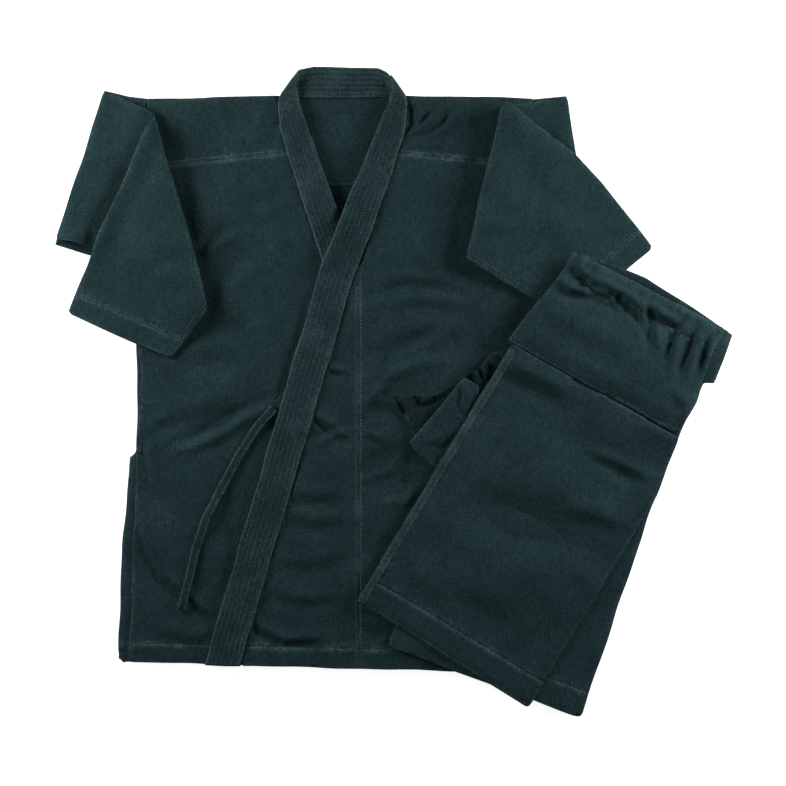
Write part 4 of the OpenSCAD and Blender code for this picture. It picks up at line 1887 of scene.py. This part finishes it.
@dataclass
class Sleeve:
    """A sleeve folded in on the front: its folded part and its end with the cuff.

    Args:
        side: the wearer's side.
        crease: the crease that the end part turns about, from top to bottom.
        cloth: its cloth.
        lift: how high the springy crease stands.
        creases: the end part's creases.
        fold_creases: the folded part's creases.
        rolls: where the folded part's edge rolls in.
        resting: where the end part rests on the rolled cloth below.
        seed: picks its small unevenness.
    """

    side: str
    crease: tuple[tuple[float, float], ...]
    cloth: CanvasFinish
    lift: float
    creases: tuple[object, ...] = ()
    fold_creases: tuple[object, ...] = ()
    rolls: tuple[Pull, ...] = ()
    resting: tuple[tuple[float, float], ...] = ()
    seed: int = 40

    def _bend(self) -> Carrier:
        """The end's carrier, between the jacket and the sleeve's end.

        Returns:
            The carrier.
        """
        a, b = np.array(self.crease[0]), np.array(self.crease[-1])
        way = (b - a) / np.linalg.norm(b - a)
        outward = np.array([way[1], -way[0]])
        if self.side == "left":
            outward = -outward
        start = (a + b) / 2
        end = start + outward * 34
        return Carrier(
            "jacket", f"{self.side}_sleeve_end", (start[0], start[1], 8.0), (end[0], end[1], 8.0)
        )

    def build(self) -> None:
        """Builds the plies of the folded part and of the end."""
        side = self.side
        jacket, end = Carrier("jacket"), self._bend()
        fold = Relief(
            [
                Rise(self.crease, self.lift * 0.8, 75), Ripple(0.7, 40, 150, self.seed),
                *self.fold_creases,
            ]
        )
        loose = Relief(
            [
                Rise(self.crease, self.lift, 90), Ripple(0.8, 40, 190, self.seed + 1),
                Crumple(0.35, 30, self.seed + 2), *self.creases,
            ]
        )
        perch = Rise(self.resting, 6.0, 34)
        loose.parts.append(perch)
        fold.parts.append(Rise(self.resting, -3.4, 20))
        below = Relief([Rise(self.crease, self.lift * 0.85, 90), perch])
        # The back ply takes the darker inside cloth: painted shade of the sleeve's hollow, seen where the
        # front ply's edge rolls in.
        for ply, cloth, relief, tuck, rolls in (
            ("back", SLEEVE_INSIDE_WITH_PAINTED_SHADE, None, -0.4, ()), ("front", self.cloth, fold, 0.6, self.rolls),
        ):
            Ply(
                f"{side}_sleeve_fold_{ply}_ply", (f"{side}_sleeve_fold_{ply}",), jacket, cloth,
                relief=relief, tuck=tuck, held="folded", pulls=rolls,
            ).build().finish_piece()
        cuff = node_loop(f"{side}_cuff")
        panel = node_loop(f"{side}_sleeve_end_front")
        mouth = self._mouth(cuff, panel)
        back = Ply(
            f"{side}_sleeve_end_back_ply", (f"{side}_sleeve_end_back",), end, self.cloth,
            relief=below, tuck=-0.5, open_paths=(mouth,), held="folded",
        )
        back.build().finish_piece()
        front = Ply(
            f"{side}_sleeve_end_front_ply", (f"{side}_sleeve_end_front", f"{side}_cuff"), end,
            self.cloth, relief=loose, tuck=0.9, tuck_reach=8.0, open_paths=(mouth,), spacing=4.2,
            raise_by=1.0, seam_wear=0.4, held="folded",
        ).build()
        rows = [r for s in front.seams for r in double_rows(s, [-2.0, 2.0])]
        rows += self._underarm_rows(panel)
        Stitching(front.piece, end, rows, shine=0.34).build()
        front.finish_piece()

    @staticmethod
    def _mouth(cuff: Points, panel: Points) -> Points:
        """The cuff's open edge, the one furthest from the sleeve's other part."""
        middle = panel.mean(0)
        return max(long_edges(cuff, 60), key=lambda e: np.linalg.norm(e.mean(0) - middle))

    def _underarm_rows(self, panel: Points) -> list[Points]:
        """Two rows along the underarm seam, beside the cuff.

        Args:
            panel: the end part's outline.

        Returns:
            The rows' lines.
        """
        top = np.array(self.crease[0])
        low_end = np.array(self.crease[-1])
        far_corner = panel[corner_near(panel, low_end)]
        rows = []
        for a, b in long_edges(panel, 30):
            near = min(np.linalg.norm(a - far_corner), np.linalg.norm(b - far_corner))
            mid = (a + b) / 2
            if near < 60 and np.linalg.norm(mid - top) > 200:
                inward = panel.mean(0) - mid
                inward /= np.linalg.norm(inward)
                rows += [np.array([a, b]) + inward * d for d in (4.0, 9.0)]
        return rows


# ---------------------------------------------------------------- the trousers


@dataclass
class Trousers:
    """Folded trousers: both legs, the thighs folded back, the seat and the gathered waist.

    Args:
        lap: the two ends of the seat's lap over the upper leg.
        gathers: the waist's gathers.
        leg_creases: creases of the upper leg.
        seat_creases: creases of the seat.
    """

    lap: tuple[tuple[float, float], ...] = ((165.9, 66.3), (399.3, -63.6))
    gathers: Ripple = Ripple(2.6, 13, 30, 61, heading=-31.0, spread=9.0, waves=14)
    leg_creases: tuple[object, ...] = (
        Rise(((165, 66), (399, -63)), 7.0, 85), Rise(((300, -8), (399, -63)), 1.8, 40),
        Crease(((92, -112), (150, -120), (226, -140), (330, -190)), 6.5, 36, 0.9),
        Crease(((244, -156), (290, -168), (330, -186)), 3.4, 13),
        Crease(((273, -79), (315, -98), (357, -118)), 3.8, 8),
        Crease(((146, 44), (190, 28), (250, -4)), 5.0, 13, 1.1),
        Crease(((60, -250), (120, -270), (190, -306)), 4.0, 24),
        Crease(((150, 40), (140, 10), (116, -30)), 3.0, 10),
        Crease(((250, -230), (280, -262), (296, -300)), 3.0, 18),
        Crease(((20, -230), (50, -262), (66, -300)), 2.6, 16),
        Crease(((330, -90), (352, -120), (356, -170)), 2.6, 12),
        Swell((202, -84), 7.0, 64, 32, -52),
        Swell((300, -50), 4.0, 50, 30, -30),
        Swell((130, -230), 4.6, 80, 40, -40),
        Swell((215, -262), 4.0, 60, 40, -60),
    )
    seat_creases: tuple[object, ...] = (
        Rise(((158, 70), (396, -62)), -4.2, 30), Rise(((300, -8), (396, -62)), -1.0, 22),
        Crease(((238, 176), (300, 144), (370, 106), (440, 66)), 3.0, 7, 1.6),
        Crease(((226, 158), (250, 142), (306, 134)), 6.2, 7, 1.0),
        Crease(((248, 182), (282, 148), (326, 112)), 6.4, 6.5, 1.0),
        Crease(((270, 166), (320, 136), (352, 98)), 5.6, 6, 1.0),
        Crease(((318, 146), (344, 118), (352, 90)), 5.0, 6, 1.0),
        Crease(((428, 84), (418, 60), (404, 16)), 6.4, 6, 1.0),
        Crease(((446, 76), (438, 50), (430, 24)), 5.6, 5.5, 1.0),
        Crease(((408, 98), (394, 70), (384, 36)), 5.8, 6, 1.0),
        Crease(((376, 114), (366, 88), (366, 56)), 4.8, 7, 1.0),
        Crease(((350, 126), (366, 112), (400, 92)), 4.6, 6, 1.0),
        Crease(((205, 112), (260, 96), (330, 60)), 3.6, 18),
        Crease(((392, 4), (410, -20), (404, -50)), 3.0, 9),
        Swell((290, 70), 3.0, 60, 34, -31),
        Swell((380, 10), 2.6, 40, 24, -31),
    )

    def build(self) -> None:
        """Builds every ply of the trousers."""
        body = Carrier("trousers")
        drop = self._drop()
        self._under_leg(body, drop)
        self._gusset(body, drop)
        self._top_leg(drop)
        self._thighs(body, drop)
        self._seat(body, drop)

    def _drop(self) -> list[Rise]:
        """How far the trousers settle where no sleeve holds them up."""
        return [Rise(((150, -60), (40, -330), (290, -330), (360, -140)), -3.6, 150)]

    def _leg_edge_rows(self, ply: Ply) -> list[Points]:
        """Rows of stitches beside the hem's fold line.

        Args:
            ply: the leg's ply.

        Returns:
            The rows' lines.
        """
        rows = []
        for seam in ply.seams:
            rows += double_rows(seam, [-1.5])
        return rows

    def _under_leg(self, body: Carrier, drop: list[Rise]) -> None:
        """The lower leg, which shows along its outer edge and at its hem.

        Args:
            body: what it moves with.
            drop: how far the trousers settle.
        """
        cover = [node_loop("left_leg_front"), node_loop("left_leg_hem")]
        for ply, extra, tuck in (("back", [], -0.4), ("front", [Ripple(0.3, 24, 90, 51)], 0.6)):
            relief = Relief([Relief(extra, cover, 10.0), *drop])
            nodes: tuple[str, ...] = (f"right_leg_{ply}",)
            if ply == "front":
                nodes = ("right_leg_front", "right_leg_hem")
            piece = Ply(
                f"right_leg_{ply}_ply", nodes, body, LEG_CLOTH, relief=relief, tuck=tuck,
                spacing=6.0, held="folded",
            ).build()
            if ply == "front":
                Stitching(piece.piece, body, self._leg_edge_rows(piece)).build()
            piece.finish_piece()

    def _gusset(self, body: Carrier, drop: list[Rise]) -> None:
        """The crumpled corner of the crotch: a dark hollow under a ridge that hangs over it.

        Args:
            body: what it moves with.
            drop: how far the trousers settle.
        """
        seam = ((90, -108), (121, -28), (176, 58))
        hollow = Relief(
            [
                *drop, Rise(seam, 1.6, 30),
                Crease(((-12, -6), (10, -3), (40, 0), (70, 9), (112, 30)), 5.5, 3.2, 0.0),
                Crease(((-10, 0), (4, -20), (12, -38), (26, -68)), 4.5, 3.2, 0.0),
                Crease(((8, -6), (24, -26), (22, -46)), 4.0, 4.0, 0.9),
                Crease(((34, 0), (44, -14), (70, 0)), 3.6, 4.0, 0.9),
                Crease(((118, 56), (128, 40), (130, 14)), 8.0, 3.0, 0.6),
                Crease(((104, 30), (116, 26), (126, 4)), 6.0, 4.0, 0.9),
                Swell((38, -18), -2.6, 26, 14, 47), Crumple(1.8, 13, 58),
            ]
        )
        # The lower ply of the hollow takes the darker inside cloth, which is partly painted shade.
        Ply(
            "crotch_gusset_cloth", ("crotch_gusset",), body, GUSSET_INSIDE_WITH_PAINTED_SHADE, relief=hollow,
            spacing=2.6, held="folded",
            outline=np.array(
                [(-6.3, -6.6), (12, -36.3), (28.4, -63.6), (62, -109), *seam, (136.7, 54.5),
                 (120.6, 31.5), (60.4, 1.2)]
            ),
            pulls=(Pull(((-6, -6), (34, -76)), 6.0, 24.0), Pull(((94, 16), (-6, -6)), 4.0, 22.0)),
        ).build().finish_piece()
        ridge = ((25, -68), (60, -27), (95, 14))
        facet = Relief(
            [
                *drop, Rise(ridge, 9.5, 42), Rise(seam, 1.6, 30),
                Crease(((98, 12), (104, -4), (96, -30)), 4.0, 6.0, 0.8),
                Crease(((46, -70), (66, -66), (84, -50)), 2.4, 6.0, 0.9), Crumple(0.9, 16, 57),
            ]
        )
        Ply(
            "crotch_gusset_fold", ("crotch_gusset",), body, LEG_CLOTH, relief=facet, raise_by=0.6,
            spacing=2.6, held="folded",
            outline=np.array(
                [(24, -70), *ridge[1:], (101, 20), (122, 8), *seam[1::-1], (62, -107), (38, -88)]
            ),
            stands_in=False,
        ).build().finish_piece()

    def _top_leg(self, drop: list[Rise]) -> None:
        """The upper leg with its felled seam and hem.

        Args:
            drop: how far the trousers settle.
        """
        leg = self._lap_bend()
        shape = [*drop, *self.leg_creases, Ripple(1.1, 60, 240, 71), Crumple(0.5, 30, 72)]
        Ply(
            "left_leg_back_ply", ("left_leg_back",), leg, LEG_CLOTH, relief=Relief([*drop]),
            tuck=-0.9, spacing=8.0, held="folded",
        ).build().finish_piece()
        front = Ply(
            "left_leg_front_ply", ("left_leg_front", "left_leg_hem"), leg, LEG_CLOTH,
            relief=Relief(shape), raise_by=2.2, tuck=1.8, tuck_reach=9.0,
            open_paths=(np.array(self.lap),), spacing=4.4, held="folded",
        ).build()
        rows = self._leg_edge_rows(front)
        hem = node_loop("left_leg_hem")
        seam = front.seams[0]
        edge = self._far_edge(hem, seam)
        rows.append(edge + self._toward(edge, seam) * 3.5)
        Stitching(front.piece, leg, rows).build()
        front.finish_piece()
        strip = Ply(
            "left_leg_felled_seam", ("left_leg_seam",), leg, LEG_CLOTH, relief=Relief(shape),
            raise_by=1.4, spacing=3.0, held="folded", wear=0.5,
        ).build()
        loop = strip.loops[0]
        longest = sorted(
            zip(loop, np.roll(loop, -1, axis=0)), key=lambda e: -np.linalg.norm(e[1] - e[0])
        )[:2]
        middle = loop.mean(0)
        rows = []
        for a, b in longest:
            mid = (a + b) / 2
            rows.append(np.array([a, b]) + (middle - mid) / np.linalg.norm(middle - mid) * 2.2)
        Stitching(strip.piece, leg, rows, pitch=3.8, shine=0.45).build()
        strip.finish_piece()

    def _lap_bend(self) -> Carrier:
        """The upper leg's carrier, between the trousers and the upper leg.

        Returns:
            The carrier.
        """
        a, b = np.array(self.lap)
        way = (b - a) / np.linalg.norm(b - a)
        start = (a + b) / 2
        end = start + np.array([way[1], -way[0]]) * 40
        return Carrier("trousers", "left_leg", (start[0], start[1], 19.3), (end[0], end[1], 19.3))

    @staticmethod
    def _far_edge(loop: Points, seam: Points) -> Points:
        """The long edge of a hem that lies opposite its seam."""
        return max(long_edges(loop, 100), key=lambda e: nearest_on(e.mean(0)[None], seam)[0][0])

    @staticmethod
    def _toward(edge: Points, seam: Points) -> Points:
        """Unit step from an edge towards a seam.

        Args:
            edge: the edge's two ends.
            seam: the seam's line.

        Returns:
            The step.
        """
        step = seam.mean(0) - edge.mean(0)
        along = (edge[1] - edge[0]) / np.linalg.norm(edge[1] - edge[0])
        step = step - along * (step @ along)
        return step / np.linalg.norm(step)

    def _thighs(self, body: Carrier, drop: list[Rise]) -> None:
        """The thighs' hidden plies, folded back between the legs and the seat.

        Args:
            body: what they move with.
            drop: how far the trousers settle.
        """
        for side in ("left", "right"):
            Ply(
                f"{side}_thigh_folded", (f"{side}_thigh_fold",), body, LEG_CLOTH,
                relief=Relief([*drop, Ripple(0.15, 40, 120, 81)]), spacing=7.0, held="folded",
            ).build().finish_piece()

    def _seat(self, body: Carrier, drop: list[Rise]) -> None:
        """The seat's plies with the gathered waist casing and its elastic.

        Args:
            body: what it moves with.
            drop: how far the trousers settle.
        """
        waist = node_loop("left_waist_casing")
        waist_line = self._waist_line(waist)
        waist_edge = tuple(map(tuple, waist_line))
        for half, raise_by in (("right", 0.0), ("left", 3.4)):
            gathered = _Gathered(self.gathers, waist_line, 74.0)
            top_shape = Relief(
                [
                    *drop, *self.seat_creases, Ripple(1.0, 40, 170, 91),
                    Crumple(1.5, 18, 92, (400.0, 90.0), 70.0),
                    Crumple(0.9, 20, 93, (280.0, 140.0), 60.0), gathered,
                ]
                if half == "left"
                else [*drop, Rise(waist_edge, -6.5, 24)]
            )
            Ply(
                f"{half}_seat_back_ply", (f"{half}_seat_back",), body, LEG_CLOTH,
                relief=Relief([*drop]), tuck=-0.4, spacing=8.0, held="folded",
            ).build().finish_piece()
            front = Ply(
                f"{half}_seat_front_ply", (f"{half}_seat_front", f"{half}_waist_casing"), body,
                LEG_CLOTH, relief=Relief([top_shape, Rise(waist_edge, -0.95 * raise_by, 8)]),
                raise_by=raise_by, tuck=1.2 if half == "left" else 0.5, tuck_reach=6.0,
                seam_depth=0.25, seam_wear=0.15,
                open_paths=(waist_line,) if half == "left" else (), spacing=3.8, held="folded",
            ).build()
            rows = [r for s in front.seams for r in double_rows(s, [1.5])]
            Stitching(front.piece, body, rows, shine=0.26).build()
            front.finish_piece()
            Ply(
                f"{half}_waist_elastic", (f"{half}_elastic",), body, ELASTIC, Slot.ELASTIC,
                relief=top_shape, raise_by=raise_by * 0.4 - 0.9, spacing=6.0, held="gathered",
                inset=10.0, thin=0.4,
            ).build().finish_piece()

    @staticmethod
    def _waist_line(casing: Points) -> Points:
        """The waist casing's uppermost long edge."""
        return max(long_edges(casing, 100), key=lambda e: e[:, 1].mean())


@dataclass(frozen=True, eq=False)
class _Gathered:
    """Gathers that run in from an elastic edge and die away.

    Args:
        ripple: the gathers' waves.
        line: the elastic edge.
        reach: how far they run.
    """

    ripple: Ripple
    line: Points
    reach: float

    def at(self, points: Points) -> Points:
        """Height that the gathers add at each point.

        Args:
            points: places on the cloth, in millimetres.

        Returns:
            The height at each.
        """
        gap, _, share = nearest_on(points, self.line)
        inward = (1 - ease(gap / self.reach)) * (0.55 + 0.45 * ease(gap / 9.0))
        return self.ripple.at(points) * inward * (0.45 + 0.9 * share)


# ---------------------------------------------------------------- studio


@dataclass
class Studio:
    """A pale floor, two soft lamps at the sides and a camera straight above."""

    floor_half: float = 6.0
    camera_height: float = 2.6
    view_width: float = 1.1004
    sensor: float = 36.0
    centre: tuple[float, float] = (0.0014, -0.0019)
    side_power: float = 17.5
    side_place: tuple[float, float, float] = (1.2, 0.55, 0.52)
    top_power: float = 1.6
    sky: float = 0.07

    def build(self) -> None:
        """Builds the floor, the lamps, the world and the camera."""
        self._floor()
        self._lamps()
        self._world()
        self._camera()
        bpy.context.scene.view_settings.view_transform = "Standard"

    def _floor(self) -> None:
        """A floor just under the cloth."""
        half = self.floor_half
        mesh = bpy.data.meshes.new("floor")
        corners = [(-half, -half, 0), (half, -half, 0), (half, half, 0), (-half, half, 0)]
        mesh.from_pydata(corners, [], [(0, 1, 2, 3)])
        mesh.materials.append(WARDROBE.get(BackdropFinish()))
        floor = bpy.data.objects.new("floor", mesh)
        bpy.context.scene.collection.objects.link(floor)

    def _lamps(self) -> None:
        """One large soft lamp on each side and a weak one above."""
        x, y, z = self.side_place
        spots = (
            ("left_lamp", (-x, y, z), self.side_power, 0.45),
            ("right_lamp", (x, y, z), self.side_power * 0.95, 0.45),
            ("top_lamp", (0.0, 0.6, 1.9), self.top_power, 1.6),
        )
        for name, place, power, size in spots:
            light = bpy.data.lights.new(name, "AREA")
            light.energy, light.size = power, size
            lamp = bpy.data.objects.new(name, light)
            lamp.location = place
            lamp.rotation_euler = (-Vector(place)).to_track_quat("-Z", "Y").to_euler()
            bpy.context.scene.collection.objects.link(lamp)

    def _world(self) -> None:
        """An even pale world that shows as white behind the floor's edge."""
        world = bpy.data.worlds.new("studio")
        bpy.context.scene.world = world
        tree = bare_tree(world)
        seen = background_rays(tree)
        dim = add_node(
            tree, "ShaderNodeBackground", {"in:Color": (1, 1, 1, 1), "in:Strength": self.sky}
        ).outputs[0]
        white = add_node(
            tree, "ShaderNodeBackground", {"in:Color": (1, 1, 1, 1), "in:Strength": 1.0}
        ).outputs[0]
        mixed = add_node(tree, "ShaderNodeMixShader", links={0: seen, 1: dim, 2: white}).outputs[0]
        add_node(tree, "ShaderNodeOutputWorld", links={"Surface": mixed})

    def _camera(self) -> None:
        """A camera straight above, framing the whole width."""
        data = bpy.data.cameras.new("camera")
        data.sensor_width = self.sensor
        data.lens = self.sensor * self.camera_height / self.view_width
        camera = bpy.data.objects.new("camera", data)
        camera.location = (*self.centre, self.camera_height)
        bpy.context.scene.collection.objects.link(camera)
        bpy.context.scene.camera = camera


# ---------------------------------------------------------------- main


def main() -> None:
    """Builds the studio and every part of the uniform, in order."""
    logging.basicConfig(level=logging.INFO, format="%(name)s: %(message)s")
    Studio().build()
    JacketBack().build()
    Fronts().build()
    Tie().build()
    CollarBands().build()
    Sleeve(
        "right", ((-330.7, 387.5), (-260.2, 140.9)), SLEEVE_CLOTH, 15.0,
        creases=(
            Crease(((-270, 150), (-300, 165), (-340, 150)), 1.6, 12),
            Crease(((-330, 300), (-350, 230), (-345, 160)), 1.6, 20),
            Swell((-330, 220), 2.2, 70, 28, -75),
        ),
        fold_creases=(Swell((-448, 214), 10.0, 26, 20, -17),),
        rolls=(Pull(((-492, 213), (-392, 183)), 11.0, 26.0),),
        resting=((-330.4, 383.1), (-376.6, 290.7), (-422.8, 198.3)), seed=41,
    ).build()
    Sleeve(
        "left", ((151.3, 395.6), (101.8, 184.3)), LEFT_SLEEVE_CLOTH, 16.0,
        creases=(
            Crease(((106, 230), (140, 236), (180, 225)), 2.4, 12),
            Crease(((180, 330), (220, 300), (250, 262)), 2.0, 16),
            Crease(((150, 300), (165, 260), (200, 230)), 1.4, 18),
            Swell((150, 300), 2.0, 60, 30, -105),
            Swell((240, 230), 2.2, 50, 22, -50),
        ),
        resting=((140, 405.5), (219.8, 331.3)), seed=45,
    ).build()
    Trousers().build()


if __name__ == "__main__":
    main()
